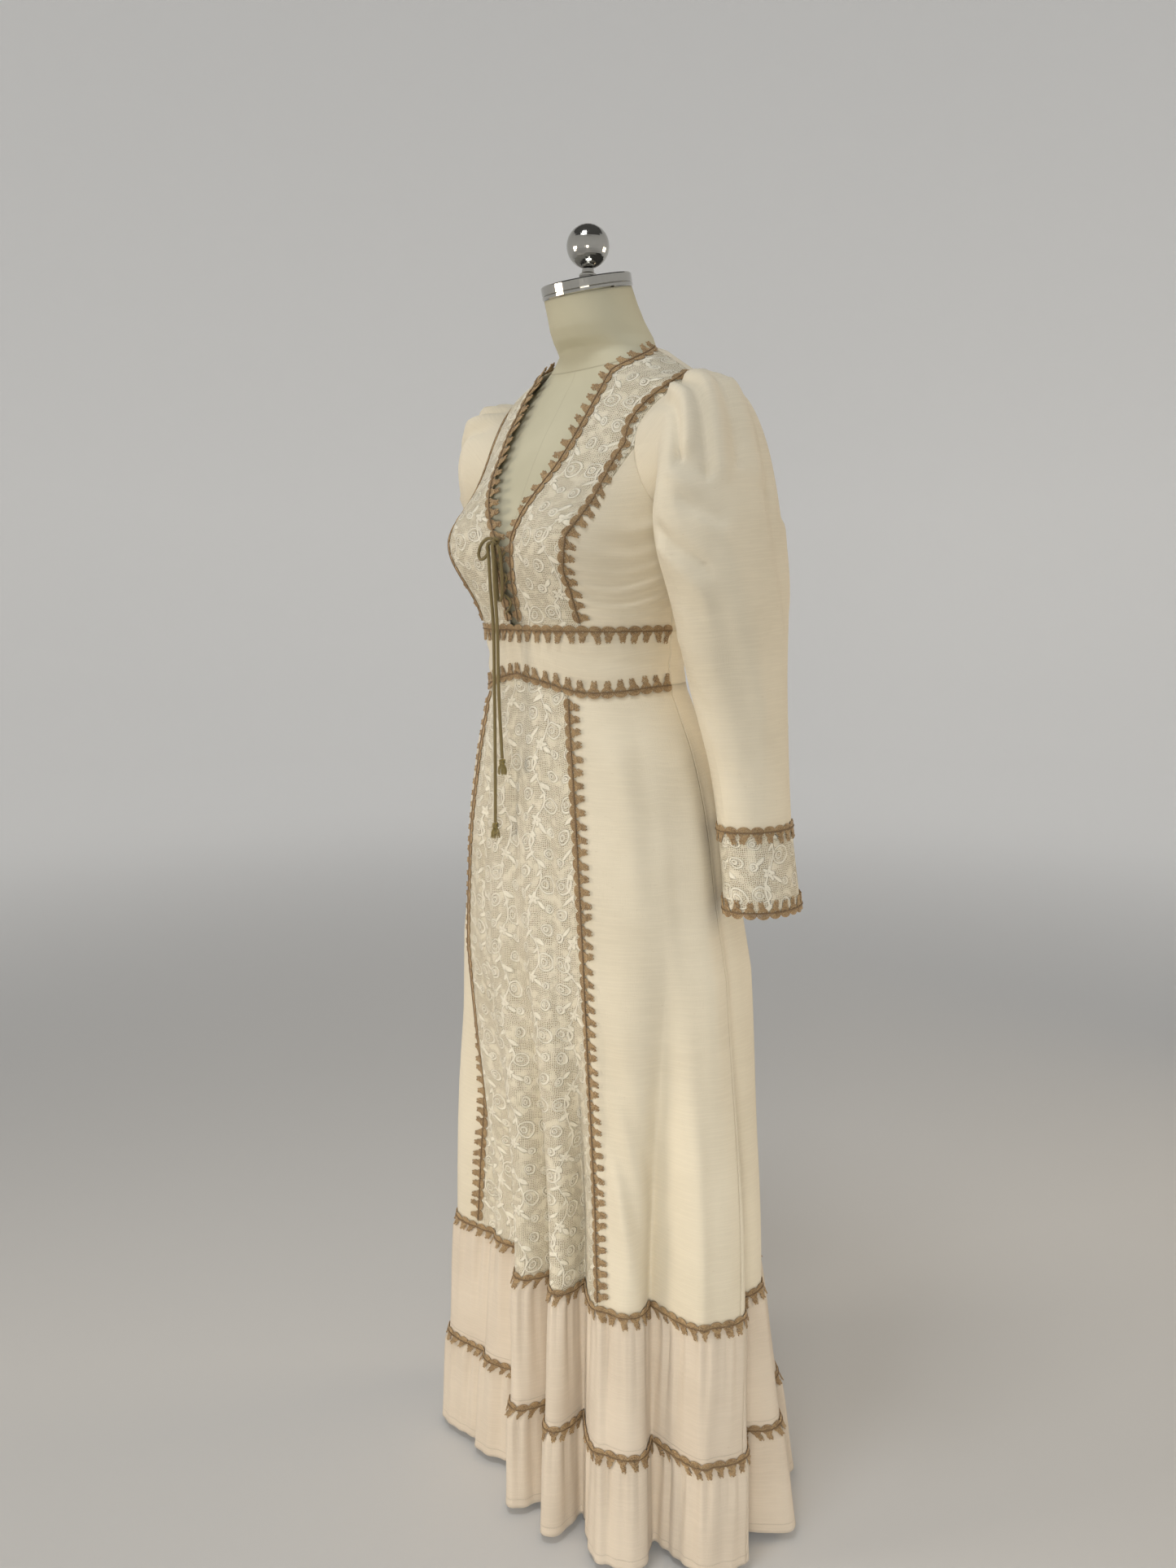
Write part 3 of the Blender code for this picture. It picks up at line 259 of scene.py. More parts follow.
NECK_SLANT = 0.36       # how much that seam rises towards the back


def mix(a, b, share):
    return a + (b - a) * share


def ease(share):
    share = min(1.0, max(0.0, share))
    return share * share * (3.0 - 2.0 * share)


def shares(count):
    return [i / count for i in range(count + 1)]


def lookup(rows, at):
    """The row of a table at a value of its first column, on a smooth curve through its rows."""
    keys = [row[0] for row in rows]
    at = min(max(at, keys[0]), keys[-1])
    i = max(j for j in range(len(rows) - 1) if keys[j] <= at)
    span = keys[i + 1] - keys[i]
    s = (at - keys[i]) / span

    def slope(j, column):
        lo, hi = max(0, j - 1), min(len(rows) - 1, j + 1)
        return (rows[hi][column] - rows[lo][column]) / (keys[hi] - keys[lo])

    values = [at]
    for column in range(1, len(rows[0])):
        p, q = rows[i][column], rows[i + 1][column]
        m, n = slope(i, column) * span, slope(i + 1, column) * span
        values.append((2 * s**3 - 3 * s**2 + 1) * p + (s**3 - 2 * s**2 + s) * m
                      + (3 * s**2 - 2 * s**3) * q + (s**3 - s**2) * n)
    return type(rows[0])(*values)


def around(section, angle):
    """Distance from a section's middle to its edge at an angle."""
    s, c = abs(math.sin(math.radians(angle))), abs(math.cos(math.radians(angle)))
    n = section.squareness
    return ((s / section.half_width) ** n + (c / section.half_depth) ** n) ** (-1.0 / n)


def body_point(angle, height):
    section = lookup(TORSO, height)
    angle = (angle + 180.0) % 360.0 - 180.0
    reach = BUST.above if height > BUST.height else BUST.below
    swell = BUST.rise * math.exp(-((height - BUST.height) / reach) ** 2)
    swell *= math.exp(-((abs(angle) - BUST.angle) / BUST.spread) ** 2)
    r = around(section, angle) + swell
    return Vector((r * math.sin(math.radians(angle)),
                   section.middle - r * math.cos(math.radians(angle)), height))


def normal_of(surface, angle, height):
    step_a, step_h = 0.4, 0.001
    along = surface(angle + step_a, height) - surface(angle - step_a, height)
    up = surface(angle, height + step_h) - surface(angle, height - step_h)
    return along.cross(up).normalized()


def over_body(angle, height, lift=BODY_GAP):
    return body_point(angle, height) + normal_of(body_point, angle, height) * lift


def neck_ring(ring, count):
    tilt = math.radians(ring.tilt)
    points = []
    for i in range(count):
        angle = math.radians(-180.0 + 360.0 * i / count)
        x, forward = ring.radius * math.sin(angle), ring.radius * math.cos(angle)
        points.append(Vector((x, ring.middle - forward * math.cos(tilt),
                              ring.height - forward * math.sin(tilt))))
    return points


def measured(grid, closed):
    """Running lengths along the rows, from their middle, and up the columns, with the whole area."""
    points = np.array([[tuple(p) for p in row] for row in grid])
    if closed:
        points = np.concatenate([points, points[:, :1]], axis=1)
    along = np.linalg.norm(np.diff(points, axis=1), axis=2)
    up = np.linalg.norm(np.diff(points, axis=0), axis=2)
    across = np.concatenate([np.zeros((len(points), 1)), np.cumsum(along, axis=1)], axis=1)
    rise = np.concatenate([np.zeros((1, points.shape[1])), np.cumsum(up, axis=0)], axis=0)
    area = float(((along[1:] + along[:-1]) * (up[:, 1:] + up[:, :-1])).sum() / 4)
    width, length = float(across[:, -1].max()), float(rise[-1].max())
    middle = across[:, across.shape[1] // 2]
    return across - middle[:, None], rise, (width, length), min(area, width * length)


def cloth(name, grid, thickness, finish, closed=False):
    """A shell on the outside of rows of points, whose UVs are metres of cut cloth."""
    across, rise, flat, area = measured(grid, closed)
    rows, columns = len(grid), len(grid[0])
    faces, corners = [], []
    for r in range(rows - 1):
        for c in range(columns if closed else columns - 1):
            after, low, high = (c + 1) % columns, r * columns, (r + 1) * columns
            faces.append((low + c, low + after, high + after, high + c))
            corners += [(r, c), (r, c + 1), (r + 1, c + 1), (r + 1, c)]
    mesh = bpy.data.meshes.new(name)
    mesh.from_pydata([tuple(p) for row in grid for p in row], [], faces)
    layer = mesh.uv_layers.new(name="cut")
    for loop, (r, c) in zip(layer.data, corners):
        loop.uv = (across[r, c], rise[r, c])
    mesh.materials.append(finish.material)
    mesh.shade_smooth()
    made = bpy.data.objects.new(name, mesh)
    bpy.context.scene.collection.objects.link(made)
    made["flat"], made["area"] = flat, area
    if thickness:
        solid = made.modifiers.new("thickness", "SOLIDIFY")
        solid.thickness, solid.offset = thickness, 1.0
    return made


canvas = Finish("form canvas", (0.55, 0.51, 0.39), 0.9)
across, up, cut = canvas.sides()
beside, depth, height = canvas.parts(canvas.own_place())
weft = canvas.noise(canvas.at(across * 120.0, up * 2200.0), 1.0, 1.0)
warp = canvas.noise(canvas.at(across * 2200.0, up * 120.0), 1.0, 1.0)
age = canvas.noise(cut, 9.0, 4.0).fade(0.3, 0.7)
under_neck = height - depth * NECK_SLANT
neck_seam = abs(under_neck - NECK_FOOT).fade(0.0010, 0.0003)
centre_seam = abs(beside).fade(0.0008, 0.0003) * (under_neck - NECK_FOOT).fade(0.001, -0.001)
centre_seam = centre_seam * depth.fade(0.0, -0.01)
seam_line = neck_seam.math("MAXIMUM", centre_seam * 0.5)
tone = canvas.blend(age, (0.530, 0.500, 0.365), (0.585, 0.552, 0.410))
canvas.paint(canvas.blend(seam_line * 0.45, tone, (0.30, 0.26, 0.18)))
canvas.raise_by(weft * 0.25 + warp * 0.25 - seam_line * 1.6, 0.0005, 0.5)

form_heights = [mix(TORSO[0].height, TORSO[-1].height, share) for share in shares(FORM_ROWS)]
form_rings = [[over_body(-180.0 + 360.0 * i / FORM_COLUMNS, height, -FORM_INSET) for i in range(FORM_COLUMNS)]
              for height in form_heights]
form_rings[0] = [Vector((p.x * FORM_FOOT, p.y * FORM_FOOT, p.z)) for p in form_rings[0]]
neck_rows = [neck_ring(ring, FORM_COLUMNS) for ring in NECK]
shoulder_ring = form_rings[-1]
for share in shares(4)[1:-1]:
    form_rings.append([a.lerp(b, share) for a, b in zip(shoulder_ring, neck_rows[0])])
for low, high in zip(neck_rows, neck_rows[1:]):
    form_rings += [[a.lerp(b, share) for a, b in zip(low, high)] for share in shares(6)[:-1]]
form_rings.append(neck_rows[-1])
form_cover = cloth("form_cover", form_rings, 0.0, canvas, closed=True)
shell = bmesh.new()
shell.from_mesh(form_cover.data)
bmesh.ops.holes_fill(shell, edges=[edge for edge in shell.edges if edge.is_boundary])
shell.to_mesh(form_cover.data)
shell.free()
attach(form_cover, "root")
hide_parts("form_torso")


# The neck is closed by a chromed plate, with a short stem and a ball to lift it by.
# They and the stand's pole and base are turned, and each stands where its solid does.
chrome = Finish("chrome", (0.50, 0.49, 0.46), 0.12, Metallic=1.0)
chrome_spots = chrome.noise(chrome.own_place(), 220.0, 3.0)
chrome.feed(chrome.shader.inputs["Roughness"], chrome_spots * 0.08 + 0.05)
steel = Finish("satin black paint", (0.03, 0.03, 0.032), 0.38)
steel_grain = steel.noise(steel.own_place(), 900.0, 2.0)
steel.raise_by(steel_grain, 0.0002, 0.3)
PLATE_THICK = 0.015
PLATE_RADIUS = 0.0515
PLATE_BEVEL = 0.0013
GROOVE_HEIGHT = 0.0047  # of the line turned round the plate's rim
GROOVE_DEPTH = 0.0008
BALL_RADIUS = 0.024
STEM_RADIUS = 0.010
STEM_NECK = [(0.0065, 0.0), (0.0072, 0.004)]     # its radii under the ball, and how far down each is
STEM_COLLAR = 0.006     # from the stem's top down to its full width
STEM_FOOT = 0.0058      # the stem starts this much above the foot of its solid
POLE_LINE = 0.298       # height of the fine line round the pole where it telescopes
POLE_LINE_HALF = 0.002
POLE_LINE_DEPTH = 0.0004
BASE_ROUND = 0.004
TURNED_STEPS = 64
CRISP_ANGLE = 38.0


def turned(name, outline, finish, node, place, tilt=0.0):
    """A turned piece: its outline of (radius, height) runs down its outer side."""
    profile = bpy.data.meshes.new(name)
    profile.from_pydata([(r, 0.0, z) for r, z in outline], [], [(i, i + 1) for i in range(len(outline) - 1)])
    profile.materials.append(finish.material)
    made = bpy.data.objects.new(name, profile)
    made.location = place
    made.rotation_euler.x = math.radians(tilt)
    bpy.context.scene.collection.objects.link(made)
    screw = made.modifiers.new("turned", "SCREW")
    screw.steps = screw.render_steps = TURNED_STEPS
    screw.use_merge_vertices, screw.merge_threshold = True, 0.00002
    screw.use_smooth_shade = True
    sharp = made.modifiers.new("crisp edges", "EDGE_SPLIT")
    sharp.split_angle = math.radians(CRISP_ANGLE)
    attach(made, "root")
    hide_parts(node)
    return made


def middle_of(node):
    low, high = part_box(node)
    return (Vector(low) + Vector(high)) / 2


half_plate = PLATE_THICK / 2
groove = GROOVE_HEIGHT - half_plate
plate_outline = [
    (0.0, half_plate), (PLATE_RADIUS - PLATE_BEVEL, half_plate), (PLATE_RADIUS, half_plate - PLATE_BEVEL),
    (PLATE_RADIUS, groove + GROOVE_DEPTH), (PLATE_RADIUS - GROOVE_DEPTH, groove),
    (PLATE_RADIUS, groove - GROOVE_DEPTH), (PLATE_RADIUS, -half_plate + PLATE_BEVEL),
    (PLATE_RADIUS - PLATE_BEVEL, -half_plate), (0.0, -half_plate),
]
turned("neck_plate_turned", plate_outline, chrome, "neck_plate", middle_of("neck_plate"), NECK[-1].tilt)
ball_outline = [(BALL_RADIUS * math.sin(math.pi * share), BALL_RADIUS * math.cos(math.pi * share))
                for share in shares(32)]
turned("finial_ball_turned", ball_outline, chrome, "finial_ball", middle_of("finial_ball"))
stem_low, stem_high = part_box("finial_stem")
stem_rise = stem_high[2] - stem_low[2]
stem_outline = [(0.0, stem_rise)] + [(radius, stem_rise - down) for radius, down in STEM_NECK]
stem_outline += [(STEM_RADIUS, stem_rise - STEM_COLLAR), (STEM_RADIUS, STEM_FOOT), (0.0, STEM_FOOT)]
turned("finial_stem_turned", stem_outline, chrome, "finial_stem",
       (0.0, middle_of("finial_stem").y, stem_low[2]))
pole_low, pole_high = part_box("stand_pole")
pole_radius, pole_rise = (pole_high[0] - pole_low[0]) / 2, pole_high[2] - pole_low[2]
pole_outline = [
    (0.0, pole_rise), (pole_radius, pole_rise), (pole_radius, POLE_LINE + POLE_LINE_HALF),
    (pole_radius - POLE_LINE_DEPTH, POLE_LINE), (pole_radius, POLE_LINE - POLE_LINE_HALF),
    (pole_radius, 0.0), (0.0, 0.0),
]
turned("stand_pole_turned", pole_outline, steel, "stand_pole",
       (0.0, middle_of("stand_pole").y, pole_low[2]))
base_low, base_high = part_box("stand_base")
base_radius, base_rise = (base_high[0] - base_low[0]) / 2, base_high[2] - base_low[2]
base_outline = [
    (0.0, base_rise), (base_radius - BASE_ROUND, base_rise),
    (base_radius - BASE_ROUND / 4, base_rise - BASE_ROUND / 4),
    (base_radius, base_rise - BASE_ROUND), (base_radius, 0.0), (0.0, 0.0),
]
turned("stand_base_turned", base_outline, steel, "stand_base",
       (0.0, middle_of("stand_base").y, 0.0))


# The lacing is one soft woven cord, drawn to and fro between the neck edges and tied at
# the top in a knot with a small loop, a long loop and two free ends with frayed tips.
CORD_RADIUS = 0.0019
KNOT_RADIUS = 0.0050
KNOT_LEAD = 0.0050
KNOT_GAP = 0.0008
FREE_Y = -0.1545
KNOT = Vector((-0.002, -0.1520, 1.187))
Cord = namedtuple("Cord", "leaves points returns")
LONG_LOOP = Cord((-0.50, 0.00, -0.87),
                 [(-0.0062, -0.1500, 1.1700), (-0.0064, -0.1487, 1.1500), (-0.0052, -0.1480, 1.1290),
                  (-0.0010, -0.1480, 1.1215), (0.0032, -0.1480, 1.1290), (0.0042, -0.1487, 1.1500),
                  (0.0036, -0.1500, 1.1700)], (0.50, 0.00, -0.87))
SMALL_LOOP = Cord((-0.95, 0.00, 0.30),
                  [(-0.0150, -0.1540, 1.1895), (-0.0230, -0.1550, 1.1850), (-0.0280, -0.1560, 1.1760),
                   (-0.0260, -0.1565, 1.1680), (-0.0190, -0.1560, 1.1680), (-0.0125, -0.1545, 1.1750)],
                  (-0.88, -0.30, -0.30))
SHORT_END = Cord((0.42, -0.78, -0.46),
                 [(0.0025, -0.1590, 1.1700), (0.0022, -0.1575, 1.1400), (0.0025, FREE_Y, 1.0900),
                  (0.0040, FREE_Y, 1.0200), (0.0090, FREE_Y, 0.9480)], None)
LONG_END = Cord((-0.42, -0.78, -0.46),
                [(-0.0060, -0.1590, 1.1700), (-0.0055, -0.1575, 1.1400), (-0.0045, FREE_Y, 1.0900),
                 (-0.0040, FREE_Y, 1.0200), (-0.0040, FREE_Y, 0.9400), (-0.0050, FREE_Y, 0.8740)], None)
CROSSINGS = [1.1750, 1.1610, 1.1480, 1.1350, 1.1220, 1.1090]
CROSSING_HALF = 0.0070
CROSSING_LIFT = 0.0070
CROSSING_RADIUS = 0.0014

cord_yarn = Finish("olive cord", (0.235, 0.175, 0.062), 0.72, Sheen_Weight=0.15)
cord_wave = cord_yarn.node("ShaderNodeTexWave", {"bands_direction": "DIAGONAL"},
                           {"Vector": cord_yarn.own_place(), "Scale": 260.0, "Distortion": 1.5})
cord_twist = Number(cord_yarn, cord_wave.outputs["Fac"])
cord_yarn.paint(cord_yarn.blend(cord_twist, (0.150, 0.108, 0.036), (0.290, 0.222, 0.085)))
cord_yarn.raise_by(cord_twist, 0.0006, 0.8)
frayed_yarn = Finish("frayed cord", (0.34, 0.26, 0.075), 0.8, Sheen_Weight=0.2)


def walked(points, distance):
    """The point a distance along a chain of points."""
    for a, b in zip(points, points[1:]):
        span = (b - a).length
        if distance <= span or b is points[-1]:
            return a + (b - a) * (distance / span)
        distance -= span


def smooth_route(points, spacing):
    """Evenly spaced points on a smooth curve through a cord's own points."""
    Row = namedtuple("Row", "at x y z")
    rows = [Row(float(i), *point) for i, point in enumerate(points)]
    fine = [Vector(lookup(rows, mix(0, len(rows) - 1, share))[1:]) for share in shares(40 * len(rows))]
    length = sum((b - a).length for a, b in zip(fine, fine[1:]))
    count = max(3, round(length / spacing))
    return [walked(fine, length * share) for share in shares(count)]


def out_of_knot(direction, beyond):
    return KNOT + Vector(direction).normalized() * (KNOT_RADIUS + KNOT_GAP + beyond)


def tied(shape):
    """A cord's points, from the knot's surface and, for a loop, back to it."""
    points = [out_of_knot(shape.leaves, 0.0), out_of_knot(shape.leaves, KNOT_LEAD)]
    points += [Vector(point) for point in shape.points]
    if shape.returns:
        points += [out_of_knot(shape.returns, KNOT_LEAD), out_of_knot(shape.returns, 0.0)]
    return points


def lacing(name, points, radius, node):
    """One stretch of the cord, along a smooth curve through its points."""
    route = smooth_route(points, radius * 2.0)
    curve = bpy.data.curves.new(name, "CURVE")
    curve.dimensions = "3D"
    curve.bevel_depth, curve.bevel_resolution, curve.use_fill_caps = radius, 3, True
    spline = curve.splines.new("POLY")
    spline.points.add(len(route) - 1)
    for point, place in zip(spline.points, route):
        point.co = (*place, 1.0)
    spline.use_smooth = True
    curve.materials.append(cord_yarn.material)
    made = bpy.data.objects.new(name, curve)
    bpy.context.scene.collection.objects.link(made)
    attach(made, "root")
    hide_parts(node)
    length = sum((b - a).length for a, b in zip(route, route[1:]))
    return made


def angle_at(x, height):
    """The front angle at which the body is x from its middle line."""
    low, high = 0.0, 90.0
    for _ in range(40):
        guess = (low + high) / 2
        if body_point(guess, height).x < x:
            low = guess
        else:
            high = guess
    return (low + high) / 2


def tubes(name, strands, finish):
    """Many fine strands in one mesh. A strand is its points, its radius and its number of sides."""
    shape = bmesh.new()
    for points, radius, sides in strands:
        rings = []
        for i, point in enumerate(points):
            along = (points[min(i + 1, len(points) - 1)] - points[max(i - 1, 0)]).normalized()
            side = along.cross(Vector((0.3, 0.9, 0.2))).normalized()
            over = along.cross(side)
            ring = []
            for k in range(sides):
                turn = 2 * math.pi * k / sides
                ring.append(shape.verts.new(point + (side * math.cos(turn) + over * math.sin(turn)) * radius))
            rings.append(ring)
        for a, b in zip(rings, rings[1:]):
            for k in range(sides):
                shape.faces.new((a[k], a[(k + 1) % sides], b[(k + 1) % sides], b[k]))
        shape.faces.new(rings[0][::-1])
        shape.faces.new(rings[-1])
    bmesh.ops.recalc_face_normals(shape, faces=shape.faces)
    mesh = bpy.data.meshes.new(name)
    shape.to_mesh(mesh)
    shape.free()
    mesh.materials.append(finish.material)
    mesh.shade_smooth()
    made = bpy.data.objects.new(name, mesh)
    bpy.context.scene.collection.objects.link(made)
    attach(made, "root")
    return made


FRAYED = 80             # strands in a frayed tip
FRAYED_LENGTH = 0.0135
FRAYED_SPREAD = 0.0052
FRAYED_ROOT = 0.0022    # radius of the bundle of strands where it is bound
FRAYED_DROP = 0.0052    # from the cord's end down to the strands
FRAYED_RADIUS = 0.00026
WRAP_RADIUS = 0.0028
WRAP_THREAD = 0.0011
WRAP_TURN = 2.4         # radians round the cord from one point of the wrap to the next
WRAP_TOP, WRAP_STEP = 0.0010, 0.00022
WRAP_POINTS = 22
fraying = random.Random(11)
for word, shape in (("short", SHORT_END), ("long", LONG_END)):
    foot = Vector(shape.points[-1])
    strands = []
    for _ in range(FRAYED):
        turn, share = fraying.uniform(0, 2 * math.pi), math.sqrt(fraying.random())
        out = Vector((math.cos(turn), math.sin(turn), 0.0)) * share
        top = foot + out * FRAYED_ROOT + Vector((0.0, 0.0, -FRAYED_DROP))
        drop = FRAYED_LENGTH * fraying.uniform(0.75, 1.0)
        tip = top + out * FRAYED_SPREAD * 0.6 + Vector((fraying.uniform(-0.001, 0.001), 0.0, -drop))
        bend = (top + tip) / 2 + out * 0.0012
        strands.append(([top, bend, tip], FRAYED_RADIUS, 3))
    wrap = []
    for i in range(WRAP_POINTS):
        turn = WRAP_TURN * i
        drop = WRAP_TOP + WRAP_STEP * i
        wrap.append(foot + Vector((WRAP_RADIUS * math.cos(turn), WRAP_RADIUS * math.sin(turn), -drop)))
    strands.append((wrap, WRAP_THREAD, 6))
    tip = tubes("lacing_" + word + "_frayed", strands, frayed_yarn)
    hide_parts("lacing_" + word + "_tassel")
    lacing("lacing_" + word + "_free", tied(shape), CORD_RADIUS, "lacing_" + word + "_end")
lacing("lacing_loop_long", tied(LONG_LOOP), CORD_RADIUS, "lacing_long_loop")
lacing("lacing_loop_small", tied(SMALL_LOOP), CORD_RADIUS, "lacing_small_loop")
drawn = []
for i, height in enumerate(CROSSINGS):
    x = CROSSING_HALF * (-1) ** i
    drawn.append(over_body(math.copysign(angle_at(abs(x), height), x), height, CROSSING_LIFT))
lacing("lacing_drawn", drawn, CROSSING_RADIUS, "lacing_crossings")

KNOT_LOOP = 0.0031      # radius of each turn of cord in the knot
KNOT_SWEEP = 0.93       # how much of a circle each turn makes
KNOT_TURNS = [((1.0, 0.2, 0.35), 0.0), ((0.25, 1.0, -0.5), 0.6), ((-0.6, 0.3, 1.0), 1.2)]
knot_strands = []
for axis, start in KNOT_TURNS:
    spin = Vector(axis).normalized()
    side = spin.cross(Vector((0.0, 0.6, 1.0))).normalized()
    over = spin.cross(side)
    loop = []
    for share in shares(20):
        turn = start + 2 * math.pi * share * KNOT_SWEEP
        loop.append(KNOT + (side * math.cos(turn) + over * math.sin(turn)) * KNOT_LOOP)
    knot_strands.append((loop, CORD_RADIUS, 8))
knot = tubes("lacing_knot_tied", knot_strands, cord_yarn)
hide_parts("lacing_knot")


# The bodice is cut from plain unbleached cotton at the sides and back, with a shaped
# front piece of corded lace on cotton that runs over the shoulder, each side.
CLOTH = 0.0012
LACE = 0.0015
UNDERBUST = 1.090
Edge = namedtuple("Edge", "x height")
NECK_EDGE = [
    Edge(0.0085, UNDERBUST), Edge(0.0105, 1.140), Edge(0.0150, 1.190), Edge(0.0300, 1.216),
    Edge(0.0540, 1.262), Edge(0.0620, 1.300), Edge(0.0655, 1.340), Edge(0.0650, 1.370),
]
PANEL_EDGE = [
    Edge(0.0870, UNDERBUST), Edge(0.0870, 1.120), Edge(0.0930, 1.155), Edge(0.1030, 1.190),
    Edge(0.1140, 1.232),
]
Pair = namedtuple("Pair", "angle height")
SHOULDER = [Pair(88.0, 1.3560), Pair(88.0, 1.3980)]
Armhole = namedtuple("Armhole", "middle height half_depth half_height lean")
ARMHOLE = Armhole(-0.008, 1.283, 0.056, 0.072, 0.20)
SIDE_SEAM = 96.0
BACK_NECK = 1.392
PANEL_SHARE = 0.62
SIDE_SHARE = 0.36
SHOULDER_SHARE = 5 / 9
LOWER_STEPS, UPPER_STEPS, LACE_STEPS, SIDE_STEPS, BACK_STEPS = 48, 24, 26, 40, 54
Fold = namedtuple("Fold", "height rise sag width")
SIDE_FOLDS = [Fold(1.100, 0.0034, 0.003, 0.0042), Fold(1.112, 0.0066, 0.007, 0.0048),
              Fold(1.127, 0.0080, 0.012, 0.0054), Fold(1.146, 0.0066, 0.014, 0.0056),
              Fold(1.163, 0.0042, 0.014, 0.0060), Fold(1.181, 0.0032, 0.016, 0.0070),
              Fold(1.214, 0.0030, 0.022, 0.0080)]
FOLD_CLIMB = 0.006      # a fold ends this much higher at the side seam
LACE_EASE, BACK_EASE = 0.0006, 0.0008   # depths of the soft waves in the lace and the back
DRAG_RISE = 0.0014      # depth of the drag lines across the small of the back
DRAG_AT, DRAG_SPREAD = 0.18, 0.16       # as shares of the back's height

cotton = Finish("unbleached cotton", (0.74, 0.67, 0.53), 0.88, Sheen_Weight=0.12, Sheen_Roughness=0.6)


def weave_cotton(finish, light, shade, fleck, hem=None):
    """Uneven warp and weft, tan slubs along the weft, faint creasing, and a hem's row of stitches."""
    across, up, cut = finish.sides()
    weft = finish.noise(finish.at(across * 90.0, up * 1900.0), 1.0, 1.0)
    warp = finish.noise(finish.at(across * 1900.0, up * 70.0), 1.0, 1.0)
    slub = finish.noise(finish.at(across * 130.0, up * 1250.0), 1.0, 2.0).fade(0.70, 0.78)
    bundle = finish.noise(finish.at(across * 22.0, up * 520.0), 1.0, 2.0).fade(0.42, 0.66)
    cloud = finish.noise(cut, 7.0, 4.0).fade(0.32, 0.68)
    rumple = finish.noise(cut, 26.0, 3.0)
    tone = finish.blend(cloud, shade, light)
    tone = finish.blend(bundle * 0.22, tone, tuple(c * 1.12 for c in light))
    relief = weft * 0.35 + warp * 0.35 + slub * 0.5 + rumple * 2.2
    if hem:
        row = abs(up - hem).fade(0.0010, 0.0003)
        stitch = row * (across * 2400.0).math("SINE").fade(-0.3, 0.3)
        tone = finish.blend(row * 0.30, tone, tuple(c * 0.7 for c in shade))
        relief = relief - row * 1.5 + stitch * 1.2
    finish.paint(finish.blend(slub * 0.50, tone, fleck))
    finish.raise_by(relief, 0.0011, 0.5)


weave_cotton(cotton, (0.760, 0.690, 0.545), (0.695, 0.625, 0.485), (0.48, 0.35, 0.20))

lace_yarn = Finish("corded lace", (0.78, 0.73, 0.60), 0.88, Sheen_Weight=0.08)
NET_PITCH = 0.0022      # between the holes of the net ground
MOTIF_WIDTH = 0.054     # one repeat of the vine across and up
MOTIF_HEIGHT = 0.088
CORDING = 0.0011        # half the width of a corded line
Curl = namedtuple("Curl", "x y radius")
CURLS = [Curl(0.0150, 0.0170, 0.0086), Curl(-0.0150, -0.0230, 0.0080), Curl(0.0165, -0.0350, 0.0058),
         Curl(-0.0160, 0.0330, 0.0062), Curl(-0.0185, 0.0060, 0.0042), Curl(0.0185, -0.0100, 0.0040)]
Leaf = namedtuple("Leaf", "x y lean")
LEAVES = [Leaf(-0.0090, 0.0130, 0.9), Leaf(0.0090, -0.0070, -0.8), Leaf(-0.0070, -0.0390, 0.7),
          Leaf(0.0080, 0.0390, -0.6), Leaf(0.0050, 0.0280, 1.3), Leaf(-0.0050, -0.0150, -1.4)]


